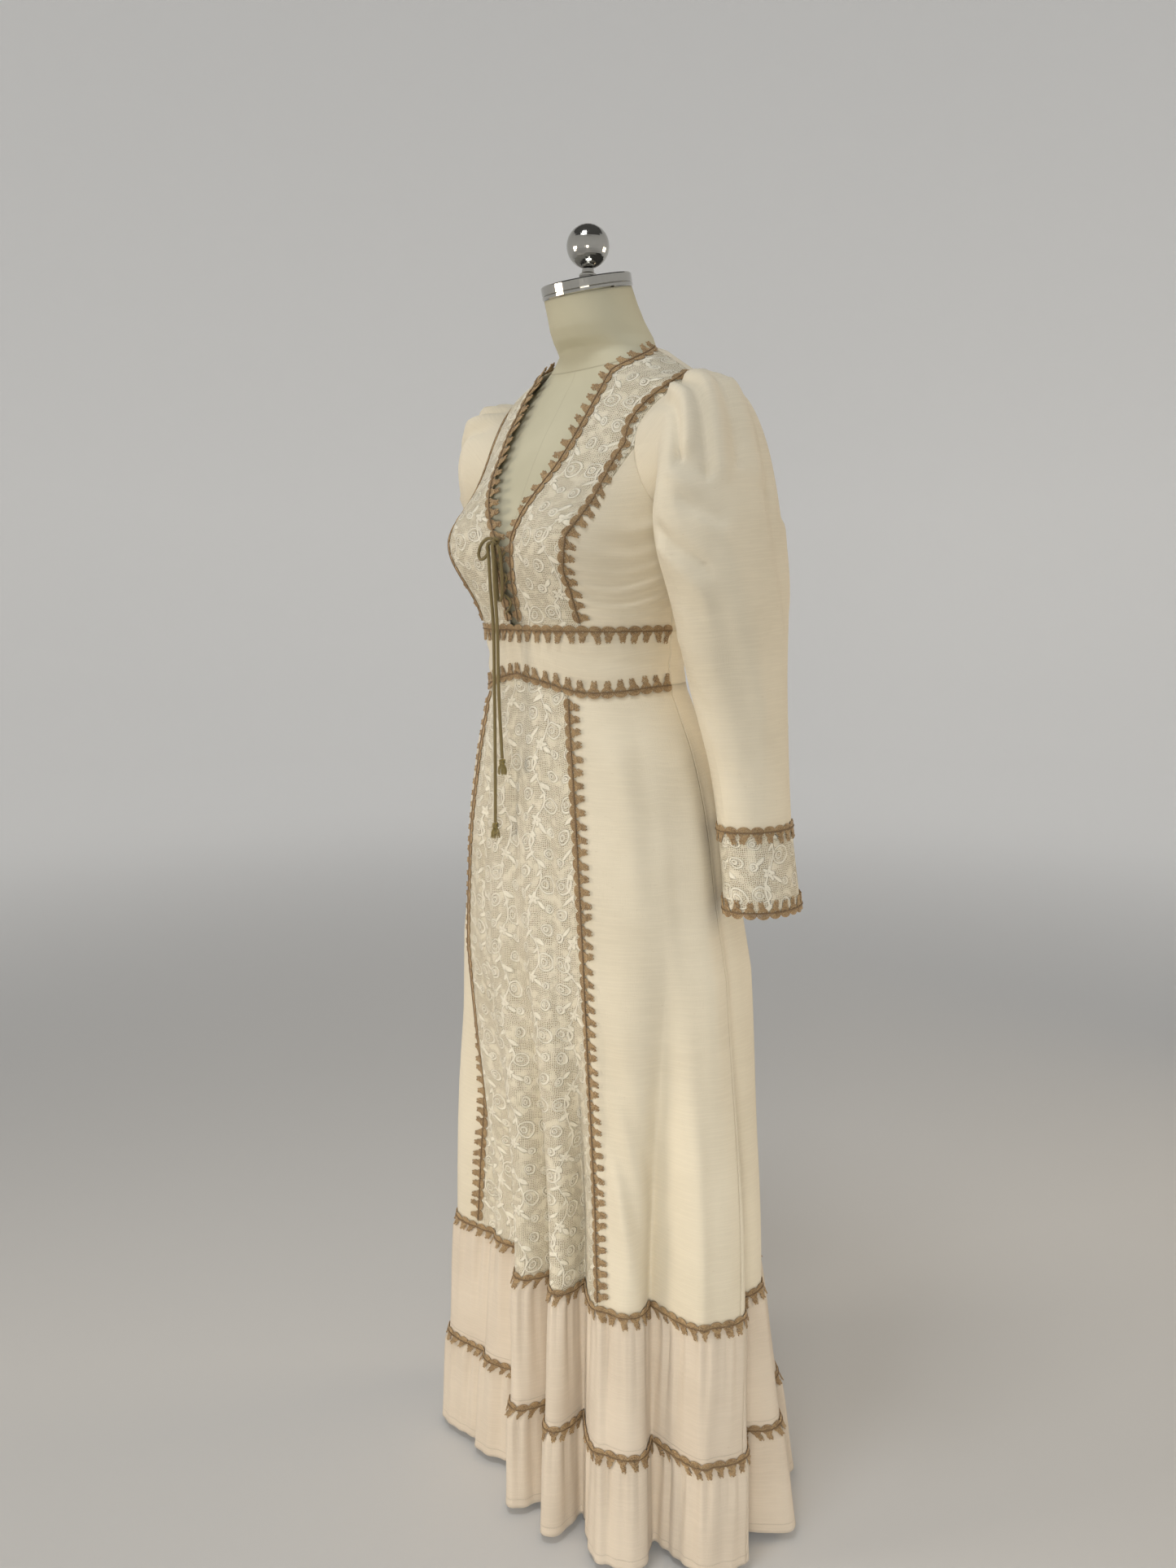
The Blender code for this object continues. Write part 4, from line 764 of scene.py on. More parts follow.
def draw_lace(finish):
    """A net ground with a corded vine, curled tendrils, leaves and five-petalled flowers, its holes painted
    dark as shade on the cloth behind.
    """
    across, up, cut = finish.sides()
    cells = finish.node("ShaderNodeTexVoronoi", {"feature": "DISTANCE_TO_EDGE", "voronoi_dimensions": "2D"},
                        {"Vector": cut, "Scale": 1.0 / NET_PITCH, "Randomness": 0.5})
    hole = Number(finish, cells.outputs["Distance"]).fade(0.14, 0.30)
    wander = finish.noise(cut, 34.0, 2.0) - 0.5
    drift = finish.noise(cut, 21.0, 1.0) - 0.5
    x, y = across + wander * 0.012, up + drift * 0.014
    lane = (x / MOTIF_WIDTH).math("FLOOR")
    shifted = y / MOTIF_HEIGHT + lane.math("MODULO", 2.0) * 0.5
    u = (x / MOTIF_WIDTH - lane - 0.5) * MOTIF_WIDTH
    v = (shifted - shifted.math("FLOOR") - 0.5) * MOTIF_HEIGHT
    vine = abs(u - (v * (2 * math.pi / MOTIF_HEIGHT)).math("SINE") * 0.0085)
    lines = vine.fade(CORDING * 1.5, CORDING * 0.6)
    for curl in CURLS:
        du, dv = u - curl.x, v - curl.y
        reach = (du * du + dv * dv).math("SQRT")
        ring = abs(reach - curl.radius - du * 0.25).fade(CORDING * 1.4, CORDING * 0.6)
        inner = abs(reach - curl.radius * 0.42).fade(CORDING * 1.3, CORDING * 0.5)
        lines = lines.math("MAXIMUM", ring).math("MAXIMUM", inner)
    for leaf in LEAVES:
        du, dv = u - leaf.x, v - leaf.y
        along, width = du + dv * leaf.lean, dv - du * leaf.lean
        blade = (along * along * 0.050 + width * width * 0.32).math("SQRT")
        lines = lines.math("MAXIMUM", blade.fade(0.0024, 0.0015))
    turn = v.math("ARCTAN2", u)
    far = (u * u + v * v).math("SQRT")
    petals = 0.0058 + (turn * 5.0).math("COSINE") * 0.0020
    flower = (far - petals).fade(0.0007, -0.0007) * far.fade(0.0008, 0.0016)
    lines = lines.math("MAXIMUM", flower) * (0.55 + finish.noise(cut, 260.0, 2.0) * 0.7)
    dense = finish.noise(cut, 85.0, 3.0).fade(0.46, 0.62)
    shaded_holes = hole * (1.0 - lines * 0.9) * (1.0 - dense * 0.75)
    stitch = finish.noise(cut, 620.0, 2.0)
    cloud = finish.noise(cut, 14.0, 3.0).fade(0.3, 0.7)
    ground = finish.blend(cloud, (0.755, 0.690, 0.535), (0.820, 0.755, 0.605))
    ground = finish.blend(stitch.fade(0.45, 0.7) * 0.5, ground, (0.85, 0.80, 0.67))
    tone = finish.blend(lines * 0.6, ground, (0.90, 0.86, 0.74))
    # Painted shade: the net's holes are painted dark brown for the shaded lining seen through them.
    finish.paint(finish.blend(shaded_holes * 0.88, tone, (0.33, 0.245, 0.135)))
    finish.raise_by(lines + stitch * 0.35 - shaded_holes * 0.6, 0.0015, 1.0)


draw_lace(lace_yarn)


def along_pairs(points, share):
    """Part of the way along a list of (angle, height) pairs, by distance on the body."""
    places = [body_point(*pair) for pair in points]
    lengths = [0.0]
    for a, b in zip(places, places[1:]):
        lengths.append(lengths[-1] + (b - a).length)
    target = share * lengths[-1]
    i = max(j for j in range(len(points) - 1) if lengths[j] <= target + 1e-9)
    part = (target - lengths[i]) / (lengths[i + 1] - lengths[i])
    a, b = points[i], points[i + 1]
    return (mix(a[0], b[0], part), mix(a[1], b[1], part))


def armhole_pair(turn):
    """The (angle, height) of the armhole at a turn: 0 is its front, 90 its top, 180 its back."""
    height = ARMHOLE.height + ARMHOLE.half_height * math.sin(math.radians(turn))
    y = ARMHOLE.middle - ARMHOLE.half_depth * math.cos(math.radians(turn))
    y += ARMHOLE.lean * (height - ARMHOLE.height)
    low, high = 20.0, 160.0
    for _ in range(30):
        guess = (low + high) / 2
        if body_point(guess, height).y < y:
            low = guess
        else:
            high = guess
    return ((low + high) / 2, height)


def armhole_line(turn):
    """A point on the armhole, whose top is drawn to the shoulder seam."""
    pair = armhole_pair(turn)
    drawn_to = ease((80.0 - abs(turn - 90.0)) / 80.0)
    return (mix(pair[0], SHOULDER[0].angle, drawn_to), mix(pair[1], SHOULDER[0].height, drawn_to))


neck_pairs = [(angle_at(edge.x, edge.height), edge.height) for edge in NECK_EDGE] + [tuple(SHOULDER[-1])]
panel_pairs = [(angle_at(edge.x, edge.height), edge.height) for edge in PANEL_EDGE] + [armhole_pair(0.0)]
shoulder_pairs = [tuple(pair) for pair in SHOULDER]
under_arm = armhole_pair(-90.0)
panel_foot, neck_foot = panel_pairs[0][0], neck_pairs[0][0]


def lace_outer(v):
    if v <= PANEL_SHARE:
        return along_pairs(panel_pairs, v / PANEL_SHARE)
    return armhole_line(mix(0.0, 90.0, (v - PANEL_SHARE) / (1 - PANEL_SHARE)))


def side_line(share):
    return (mix(SIDE_SEAM, under_arm[0], share), mix(UNDERBUST, under_arm[1], share))


def back_top(u):
    """Up the shoulder seam to the neck, then round the back of the neck."""
    if u <= SHOULDER_SHARE:
        return along_pairs(shoulder_pairs, u / SHOULDER_SHARE)
    part = (u - SHOULDER_SHARE) / (1 - SHOULDER_SHARE)
    return (mix(SHOULDER[-1].angle, 180.0, part), mix(SHOULDER[-1].height, BACK_NECK, part))


def back_side(v):
    if v < SIDE_SHARE:
        return side_line(v / SIDE_SHARE)
    return armhole_line(mix(270.0, 90.0, (v - SIDE_SHARE) / (1 - SIDE_SHARE)))


def patch(bottom, top, left, right, across, up, side, relief):
    """Points over a four-sided piece whose edges are functions of a share."""
    corners = [bottom(0.0), bottom(1.0), top(0.0), top(1.0)]
    lows, highs = [bottom(u) for u in across], [top(u) for u in across]
    grid = []
    for v in up:
        row, near, far = [], left(v), right(v)
        for u, low, high in zip(across, lows, highs):
            weights = [(1 - u) * (1 - v), u * (1 - v), (1 - u) * v, u * v]
            pair = [(1 - v) * low[k] + v * high[k] + (1 - u) * near[k] + u * far[k]
                    - sum(w * corner[k] for w, corner in zip(weights, corners)) for k in (0, 1)]
            row.append(over_body(side * pair[0], pair[1], BODY_GAP + relief(u, v, pair[1])))
        grid.append(row if side > 0 else row[::-1])
    return grid


def side_relief(u, v, height):
    """Folds pulled across the side of the bodice, from the braid to the side seam."""
    total = 0.0
    for fold in SIDE_FOLDS:
        line = fold.height - fold.sag * math.sin(math.pi * min(1.0, u * 1.1)) + FOLD_CLIMB * u
        total += fold.rise * math.exp(-((height - line) / fold.width) ** 2)
    return total * math.sin(math.pi * u) ** 0.8 * ease((1 - v) * 8)


def lace_relief(u, v, height):
    wave = LACE_EASE * math.sin(math.pi * u) * math.sin(9.0 * v + 3.0 * u)
    return wave * ease(v * 10) * ease((1 - v) * 10)


def back_relief(u, v, height):
    """Soft drag lines across the small of the back."""
    sway = DRAG_RISE * math.sin(38.0 * v + 2.2 * math.sin(3.0 * u))
    sway *= math.exp(-((v - DRAG_AT) / DRAG_SPREAD) ** 2)
    return sway * math.sin(math.pi * u) * ease(v * 12) + BACK_EASE * math.sin(math.pi * u) * math.sin(13.0 * v)


def sewn(made, nodes, held, rests_on=("form_torso",)):
    """A cloth piece rides on the body, stands for its solid and is declared at its cut size."""
    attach(made, "root")
    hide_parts(*nodes)
    cloths[made.name] = (made, held, rests_on, [])
    return made


cloths = {}
bodice = {}
bodice_cuts = [("lace_", LACE, lace_yarn, "lace"), ("side_", CLOTH, cotton, "plain_cloth"),
               ("back_", CLOTH, cotton, "plain_cloth")]
lower = shares(LOWER_STEPS)
lace_up = [PANEL_SHARE * v for v in lower]
lace_up += [mix(PANEL_SHARE, 1.0, share) for share in shares(UPPER_STEPS)[1:]]
for side, word in ((1, "left"), (-1, "right")):
    bodice["lace_" + word] = patch(lambda u: (mix(neck_foot, panel_foot, u), UNDERBUST),
                                   lambda u: along_pairs(shoulder_pairs, 1.0 - u),
                                   lambda v: along_pairs(neck_pairs, v), lace_outer,
                                   shares(LACE_STEPS), lace_up, side, lace_relief)
    bodice["side_" + word] = patch(lambda u: (mix(panel_foot, SIDE_SEAM, u), UNDERBUST),
                                   lambda u: armhole_line(mix(0.0, -90.0, u)),
                                   lambda v: along_pairs(panel_pairs, v), side_line,
                                   shares(SIDE_STEPS), lower, side, side_relief)
    bodice["back_" + word] = patch(lambda u: (mix(SIDE_SEAM, 180.0, u), UNDERBUST), back_top, back_side,
                                   lambda v: (180.0, mix(UNDERBUST, BACK_NECK, v)),
                                   shares(BACK_STEPS), lower, side, back_relief)
    for piece, wall, finish, slot in bodice_cuts:
        made = cloth("bodice_" + piece + word + "_cloth", bodice[piece + word], wall, finish)
        sewn(made, ["bodice_" + piece + word], "draped")


# The midriff is a plain band between the bodice and the skirt, seamed at the sides
# and closed at the back.
Waist = namedtuple("Waist", "angle height")
WAIST_LINE = [Waist(0, 1.042), Waist(25, 1.033), Waist(50, 1.023), Waist(90, 1.029), Waist(180, 1.030)]
MIDRIFF_STEPS = 16
MIDRIFF_CREASE = 0.0011


def waist_height(angle):
    return lookup(WAIST_LINE, abs((angle + 180.0) % 360.0 - 180.0)).height


def midriff(angles):
    """The band over some angles, slightly creased."""
    rows = []
    for v in shares(MIDRIFF_STEPS):
        row = []
        for angle in angles:
            height = mix(waist_height(angle), UNDERBUST, v)
            pull = MIDRIFF_CREASE * math.sin(14.0 * v + math.radians(angle) * 3.5) * math.sin(math.pi * v)
            row.append(over_body(angle, height, BODY_GAP + pull * ease((abs(angle) - 25.0) / 25.0)))
        rows.append(row)
    return rows


front_half = [mix(neck_foot, panel_foot, share) for share in shares(LACE_STEPS)]
front_half += [mix(panel_foot, SIDE_SEAM, share) for share in shares(SIDE_STEPS)[1:]]
midriff_front = midriff([-angle for angle in reversed(front_half)] + front_half)
back_half = [mix(SIDE_SEAM, 180.0, share) for share in shares(BACK_STEPS)]
for name, rows in (("midriff_front", midriff_front), ("midriff_back_left", midriff(back_half)),
                   ("midriff_back_right", midriff([-angle for angle in reversed(back_half)]))):
    sewn(cloth(name + "_cloth", rows, CLOTH, cotton), [name], "draped")


# The skirt hangs from the waist in long folds that open towards its hem. Its centre
# front is a flared piece of lace, and the side and back pieces are plain cotton.
UPPER_SEAM, LOWER_SEAM, HEM = 0.309, 0.141, 0.0105
SKIRT = [
    Section(0.700, 0.194, 0.142, -0.004, 2.1),
    Section(0.780, 0.184, 0.135, -0.006, 2.1),
    Section(0.870, 0.174, 0.126, -0.009, 2.15),
    Section(0.950, 0.156, 0.115, -0.015, 2.1),
    Section(1.020, 0.1300, 0.1015, -0.0222, 2.1),
    Section(1.045, 0.1300, 0.1018, -0.0229, 2.1),
]
Flute = namedtuple("Flute", "angle seam hem")
FLUTES = [
    Flute(-180, 0.205, 0.232), Flute(-166, 0.160, 0.172), Flute(-151, 0.212, 0.240),
    Flute(-137, 0.168, 0.184), Flute(-122, 0.222, 0.250), Flute(-107, 0.188, 0.200),
    Flute(-93, 0.220, 0.238), Flute(-80, 0.180, 0.194), Flute(-67, 0.207, 0.234),
    Flute(-53, 0.135, 0.166), Flute(-34, 0.090, 0.104), Flute(-18, 0.098, 0.112),
    Flute(-3, 0.126, 0.142), Flute(10, 0.080, 0.090), Flute(24, 0.126, 0.152),
    Flute(37, 0.086, 0.100), Flute(50, 0.150, 0.182), Flute(61, 0.168, 0.195),
    Flute(72, 0.146, 0.158), Flute(82, 0.222, 0.234), Flute(92, 0.232, 0.246),
    Flute(101, 0.204, 0.212), Flute(111, 0.214, 0.264), Flute(124, 0.172, 0.204),
    Flute(137, 0.196, 0.250), Flute(151, 0.158, 0.182), Flute(166, 0.202, 0.236),
    Flute(180, 0.205, 0.232),
]
FOLDS_FROM = 0.870
FLUTE_SHARPNESS = 1.35
LaceEdge = namedtuple("LaceEdge", "height right left")
LACE_EDGES = [
    LaceEdge(0.309, -58, 48), LaceEdge(0.450, -56, 47), LaceEdge(0.600, -50, 45),
    LaceEdge(0.750, -45, 43), LaceEdge(0.880, -41, 41), LaceEdge(1.040, -37, 39),
]
PANELS = [("skirt_back_right", 12), ("skirt_side_right", 8), ("skirt_front_lace", 19),
          ("skirt_side_left", 11), ("skirt_back_left", 14)]
SKIRT_SIDES = (-93.0, 92.0)
WAIST_GAP = 0.0004
WAIST_FIT = 0.97        # the skirt closes on to the body from this share of its height up
SKIRT_STEPS = 70        # rows from the flounce seam to the waist
SEAM_SAMPLES = 1200     # places at which a piece's seam is measured
FINE = 6                # columns of the scene's cloth for each one of its solid
Crease = namedtuple("Crease", "a0 h0 a1 h1 rise width")
SKIRT_CREASES = [
    Crease(52, 0.560, 66, 0.385, -0.0045, 0.009), Crease(54, 0.500, 62, 0.340, 0.0040, 0.008),
    Crease(50, 0.640, 70, 0.470, -0.0035, 0.010), Crease(78, 0.860, 80, 0.520, -0.0040, 0.011),
    Crease(88, 0.930, 87, 0.560, 0.0045, 0.012), Crease(98, 0.960, 99, 0.500, -0.0055, 0.012),
    Crease(112, 0.980, 114, 0.560, 0.0050, 0.013), Crease(126, 0.950, 128, 0.520, -0.0050, 0.013),
    Crease(60, 0.980, 64, 0.780, 0.0020, 0.014), Crease(70, 0.990, 70, 0.800, -0.0020, 0.012),
    Crease(-58, 0.820, -66, 0.520, -0.0035, 0.010), Crease(-76, 0.900, -80, 0.560, 0.0040, 0.012),
    Crease(-96, 0.960, -99, 0.540, -0.0050, 0.012), Crease(-114, 0.960, -112, 0.520, 0.0045, 0.013),
    Crease(-132, 0.970, -134, 0.560, -0.0050, 0.013), Crease(-150, 0.960, -149, 0.540, 0.0045, 0.013),
    Crease(148, 0.970, 150, 0.560, 0.0045, 0.013), Crease(166, 0.970, 167, 0.560, -0.0045, 0.013),
    Crease(-167, 0.960, -166, 0.540, -0.0040, 0.012),
    Crease(-24, 0.960, -29, 0.560, -0.0040, 0.008), Crease(-12, 0.930, -12, 0.520, 0.0035, 0.009),
    Crease(2, 0.960, 4, 0.560, -0.0040, 0.008), Crease(15, 0.900, 17, 0.520, 0.0030, 0.009),
    Crease(27, 0.950, 30, 0.560, -0.0035, 0.008),
]
CREASE_RADIUS = 0.170   # turns an angle into a distance round the skirt
FOLD_EDGE = 9.0         # past this, the square of its widths away, a fold no longer shows


def flute_radius(angle, hem_share):
    angle = (angle + 180.0) % 360.0 - 180.0
    i = max(j for j in range(len(FLUTES) - 1) if FLUTES[j].angle <= angle)
    a, b = FLUTES[i], FLUTES[i + 1]
    share = (angle - a.angle) / (b.angle - a.angle)
    ra, rb = mix(a.seam, a.hem, hem_share), mix(b.seam, b.hem, hem_share)
    share = share**FLUTE_SHARPNESS if ra > rb else 1.0 - (1.0 - share) ** FLUTE_SHARPNESS
    return mix(ra, rb, ease(share))


def pressed(creases, angle, height):
    """How far soft ridges and troughs along listed lines lift the cloth."""
    total = 0.0
    x = math.radians(angle) * CREASE_RADIUS
    for crease in creases:
        x0, x1 = (math.radians(a) * CREASE_RADIUS for a in (crease.a0, crease.a1))
        dx, dh = x1 - x0, crease.h1 - crease.h0
        along = ((x - x0) * dx + (height - crease.h0) * dh) / (dx * dx + dh * dh)
        if -0.2 < along < 1.2:
            off = ((x - x0 - dx * along) ** 2 + (height - crease.h0 - dh * along) ** 2) / crease.width**2
            if off < FOLD_EDGE:
                total += crease.rise * math.exp(-off) * ease((along + 0.2) / 0.5) * ease((1.2 - along) / 0.5)
    return total


def skirt_point(angle, height, lift=0.0):
    section = lookup(SKIRT, height)
    fullness = ease((FOLDS_FROM - height) / (FOLDS_FROM - UPPER_SEAM)) ** 1.1
    hem_share = max(0.0, (UPPER_SEAM - height) / (UPPER_SEAM - HEM))
    r = mix(around(section, angle), flute_radius(angle, hem_share), fullness) + lift
    middle = section.middle * (1.0 - fullness)
    return Vector((r * math.sin(math.radians(angle)), middle - r * math.cos(math.radians(angle)), height))


def skirt_edges(height):
    lace = lookup(LACE_EDGES, height)
    up = (height - UPPER_SEAM) / (WAIST_LINE[-1].height - UPPER_SEAM)
    right, left = mix(SKIRT_SIDES[0], -SIDE_SEAM, up), mix(SKIRT_SIDES[1], SIDE_SEAM, up)
    return [-180.0, right, lace.right, lace.left, left, 180.0]


def seam_angles():
    """Angles of every column at the flounce seam, evenly spaced along each piece."""
    edges = skirt_edges(UPPER_SEAM)
    columns = []
    for (_, count), low, high in zip(PANELS, edges, edges[1:]):
        fine = [mix(low, high, share) for share in shares(SEAM_SAMPLES)]
        places = [skirt_point(angle, UPPER_SEAM) for angle in fine]
        lengths = np.concatenate([[0.0], np.cumsum([(b - a).length for a, b in zip(places, places[1:])])])
        targets = [lengths[-1] * i / (count * FINE) for i in range(count * FINE)]
        columns += [float(a) for a in np.interp(targets, lengths, fine)]
    return columns


def skirt_rows(seams):
    """Points of the whole skirt, rows up from the flounce seam."""
    base = skirt_edges(UPPER_SEAM)
    piece = [max(j for j in range(5) if base[j] <= angle + 1e-6) for angle in seams]
    part = [(angle - base[i]) / (base[i + 1] - base[i]) for angle, i in zip(seams, piece)]
    grid = []
    for v in shares(SKIRT_STEPS):
        edges = skirt_edges(mix(UPPER_SEAM, WAIST_LINE[-1].height, v))
        row = []
        for i, share in zip(piece, part):
            angle = mix(edges[i], edges[i + 1], share)
            height = mix(UPPER_SEAM, waist_height(angle) - WAIST_GAP, v)
            calm = ease(v * 14) * ease((1 - v) * 9)
            point = skirt_point(angle, height, pressed(SKIRT_CREASES, angle, height) * calm)
            row.append(point.lerp(over_body(angle, height), ease((v - WAIST_FIT) / (1.0 - WAIST_FIT))))
        grid.append(row)
    return grid


seams = seam_angles()
skirt = skirt_rows(seams)
places, start = {}, 0
for name, count in PANELS:
    columns = [(start * FINE + i) % len(seams) for i in range(count * FINE + 1)]
    piece = [[row[c] for c in columns] for row in skirt]
    lace = name == "skirt_front_lace"
    sewn(cloth(name + "_cloth", piece, LACE if lace else CLOTH, lace_yarn if lace else cotton),
         [name], "draped")
    places[name] = (start * FINE, (start + count) * FINE)
    start += count


# Two gathered flounces of the same cotton, slightly pinker, finish the skirt. Each is
# drawn up in fine gathers under its braid, and the lower one has a narrow turned hem.
flounce_cotton = Finish("flounce cotton", (0.74, 0.66, 0.54), 0.88, Sheen_Weight=0.12, Sheen_Roughness=0.6)
weave_cotton(flounce_cotton, (0.690, 0.600, 0.487), (0.625, 0.537, 0.430), (0.48, 0.35, 0.22), hem=0.011)
SCALLOPS = 0.0068       # the braid's reach from its middle to its scalloped edge
PICOTS = 0.0135         # its reach to its tufted edge
GATHER = 0.0050         # depth of the main gathers
FLOUNCE_PUFF = 0.0070   # how far the cloth springs out under the braid
FLOUNCE_STEPS = 28
PUCKER = 0.0040         # depth of the fine gathers between the main ones


def flounce(top, bottom, free_hem):
    """A gathered strip, rows up from its foot."""
    braid_share = PICOTS / (top - bottom)
    foot_gather, foot_puff = (0.5, 0.3) if free_hem else (0.0, 0.0)
    grid = []
    for v in shares(FLOUNCE_STEPS):
        down = 1.0 - v
        drawn_up = ease(down / braid_share)
        below = max(0.0, (down - braid_share) / (1.0 - braid_share))
        gather, puff = drawn_up * mix(1.0, foot_gather, below), drawn_up * mix(1.0, foot_puff, ease(below))
        fine = drawn_up * math.exp(-((below / 0.50) ** 2))
        height = mix(bottom, top, v)
        ring = [skirt_point(angle, height, FLOUNCE_PUFF * puff) for angle in seams]
        row = []
        for c, point in enumerate(ring):
            after, before = ring[(c + 1) % len(ring)], ring[c - 1]
            inwards = Vector((before.y - after.y, after.x - before.x, 0.0)).normalized()
            part = (c % FINE) / FINE
            wave = 0.5 - 0.5 * math.cos(2 * math.pi * part)
            ripple = 0.5 + 0.5 * math.sin(1.9 * c + 2.3 * math.sin(0.23 * c))
            ripple *= 0.6 + 0.4 * math.sin(0.67 * c)
            deep = GATHER * gather * wave * (0.75 + 0.25 * math.sin(0.9 * (c // FINE)))
            row.append(point + inwards * (deep + PUCKER * fine * ripple))
        grid.append(row)
    return grid


flounces = {"upper": flounce(UPPER_SEAM, LOWER_SEAM, False), "lower": flounce(LOWER_SEAM, HEM, True)}
side_right, side_left = places["skirt_side_right"][0], places["skirt_back_left"][0]
for word, rows in flounces.items():
    total = len(rows[0])
    for part, low, high in (("front", side_right, side_left), ("back", side_left, side_right + total)):
        strip = [[row[c % total] for c in range(low, high + 1)] for row in rows]
        node = "flounce_" + word + "_" + part
        sewn(cloth(node + "_cloth", strip, CLOTH, flounce_cotton), [node], "gathered")


# The long sleeves are set into the armholes with a little fullness at the top, and
# narrow to the wrist, where a band of lace makes the cuff.
SleeveRing = namedtuple("SleeveRing", "outer_x outer_z inner_x inner_z middle_y half_depth")
CUFF_TOP, CUFF_HEM = 0.876, 0.789
SLEEVE = [
    SleeveRing(0.173, 1.360, 0.158, 1.208, -0.009, 0.061),
    SleeveRing(0.199, 1.348, 0.162, 1.202, -0.010, 0.069),
    SleeveRing(0.219, 1.314, 0.163, 1.194, -0.013, 0.077),
    SleeveRing(0.234, 1.262, 0.162, 1.183, -0.015, 0.083),
    SleeveRing(0.246, 1.200, 0.161, 1.160, -0.012, 0.082),
    SleeveRing(0.251, 1.122, 0.161, 1.118, 0.001, 0.075),
    SleeveRing(0.247, 1.035, 0.164, 1.035, 0.016, 0.062),
    SleeveRing(0.243, 0.945, 0.171, 0.945, 0.034, 0.049),
    SleeveRing(0.246, CUFF_TOP, 0.179, CUFF_TOP, 0.039, 0.045),
]
CUFF = [
    SLEEVE[-1],
    SleeveRing(0.251, 0.832, 0.184, 0.832, 0.041, 0.046),
    SleeveRing(0.257, CUFF_HEM, 0.189, CUFF_HEM, 0.042, 0.048),
]
SLEEVE_COLUMNS = 96
RIGHT_SLEEVE_BACK = 0.058
RIGHT_SLEEVE_IN = 0.006
RIGHT_SHARES = [0.0, 0.15, 0.45, 0.80] + [1.0] * 5
SLEEVE_SEAT = -0.0008   # the sleeve's edge is turned in under the bodice's
RING_STEPS, CUFF_STEPS = 9, 12
HEAD_GATHER = 0.0016    # height of the small gathers round the top of the sleeve
HEAD_PITCH = 5.3        # columns from one of them to the next
HEAD_ROW = 7            # the row where they are deepest
SLEEVE_RADIUS = 0.055   # turns an angle into a distance round the sleeve
SleeveFold = namedtuple("SleeveFold", "turn0 z0 turn1 z1 rise width")
SLEEVE_FOLDS = [
    SleeveFold(34, 1.335, 26, 1.262, -0.0060, 0.0070), SleeveFold(46, 1.345, 42, 1.275, 0.0050, 0.0075),
    SleeveFold(58, 1.348, 55, 1.250, -0.0058, 0.0075), SleeveFold(72, 1.352, 70, 1.250, 0.0052, 0.0085),
    SleeveFold(86, 1.350, 86, 1.262, -0.0050, 0.0085), SleeveFold(102, 1.345, 104, 1.250, 0.0045, 0.0090),
    SleeveFold(118, 1.335, 124, 1.240, -0.0045, 0.0090), SleeveFold(26, 1.268, 52, 1.252, -0.0050, 0.0115),
    SleeveFold(30, 1.222, 58, 1.206, -0.0056, 0.0120), SleeveFold(16, 1.246, 40, 1.236, 0.0034, 0.0090),
    SleeveFold(40, 1.205, 62, 1.188, 0.0045, 0.0090), SleeveFold(-6, 1.196, 40, 1.158, -0.0060, 0.0085),
    SleeveFold(-10, 1.176, 34, 1.132, 0.0052, 0.0085), SleeveFold(-20, 1.146, 24, 1.108, -0.0034, 0.0090),
    SleeveFold(-24, 1.086, 30, 1.056, 0.0022, 0.0100), SleeveFold(-30, 1.056, 10, 1.004, -0.0024, 0.0095),
    SleeveFold(0, 0.984, 34, 0.944, 0.0018, 0.0110), SleeveFold(20, 0.952, 60, 0.915, -0.0016, 0.0100),
    SleeveFold(64, 1.180, 82, 1.000, 0.0030, 0.0170), SleeveFold(44, 1.120, 60, 0.960, -0.0024, 0.0160),
    SleeveFold(118, 1.240, 130, 1.090, -0.0046, 0.0120), SleeveFold(150, 1.200, 168, 1.080, 0.0046, 0.0110),
    SleeveFold(172, 1.130, 150, 1.030, -0.0046, 0.0100), SleeveFold(190, 1.080, 160, 0.980, 0.0040, 0.0100),
    SleeveFold(200, 1.020, 170, 0.930, -0.0038, 0.0100),
]


def sleeve_ring(ring, side, back_share=1.0):
    """A sleeve's ring, from its front round its inner side to its back and over its outer side."""
    outer, inner = Vector((ring.outer_x, 0, ring.outer_z)), Vector((ring.inner_x, 0, ring.inner_z))
    centre, reach = (outer + inner) / 2, (outer - inner) / 2
    back = ring.middle_y + (RIGHT_SLEEVE_BACK * back_share if side < 0 else 0.0)
    centre.x -= RIGHT_SLEEVE_IN * back_share if side < 0 else 0.0
    points = []
    for i in range(SLEEVE_COLUMNS):
        turn = math.radians(360.0 * i / SLEEVE_COLUMNS)
        point = centre + reach * math.sin(turn)
        points.append(Vector((side * point.x, back - ring.half_depth * math.cos(turn), point.z)))
    return points


def armhole_ring(side):
    points = []
    for i in range(SLEEVE_COLUMNS):
        turn = 360.0 * i / SLEEVE_COLUMNS
        pair = armhole_line(turn if turn <= 270.0 else turn - 360.0)
        seat = over_body(side * pair[0], pair[1], BODY_GAP + LACE + SLEEVE_SEAT)
        points.append(seat + Vector((side * SLEEVE_SEAT, 0.0, 0.0)))
    return points


def smoothed(rings, steps):
    """Rings on smooth curves through the given ones."""
    made = []
    for i in range(len(rings) - 1):
        before, after = rings[max(0, i - 1)], rings[min(len(rings) - 1, i + 2)]
        for s in shares(steps)[:-1]:
            ring = []
            for p0, p1, p2, p3 in zip(before, rings[i], rings[i + 1], after):
                m1, m2 = (p2 - p0) / 2, (p3 - p1) / 2
                ring.append(p1 * (2 * s**3 - 3 * s**2 + 1) + m1 * (s**3 - 2 * s**2 + s)
                            + p2 * (3 * s**2 - 2 * s**3) + m2 * (s**3 - s**2))
            made.append(ring)
    return made + [rings[-1]]


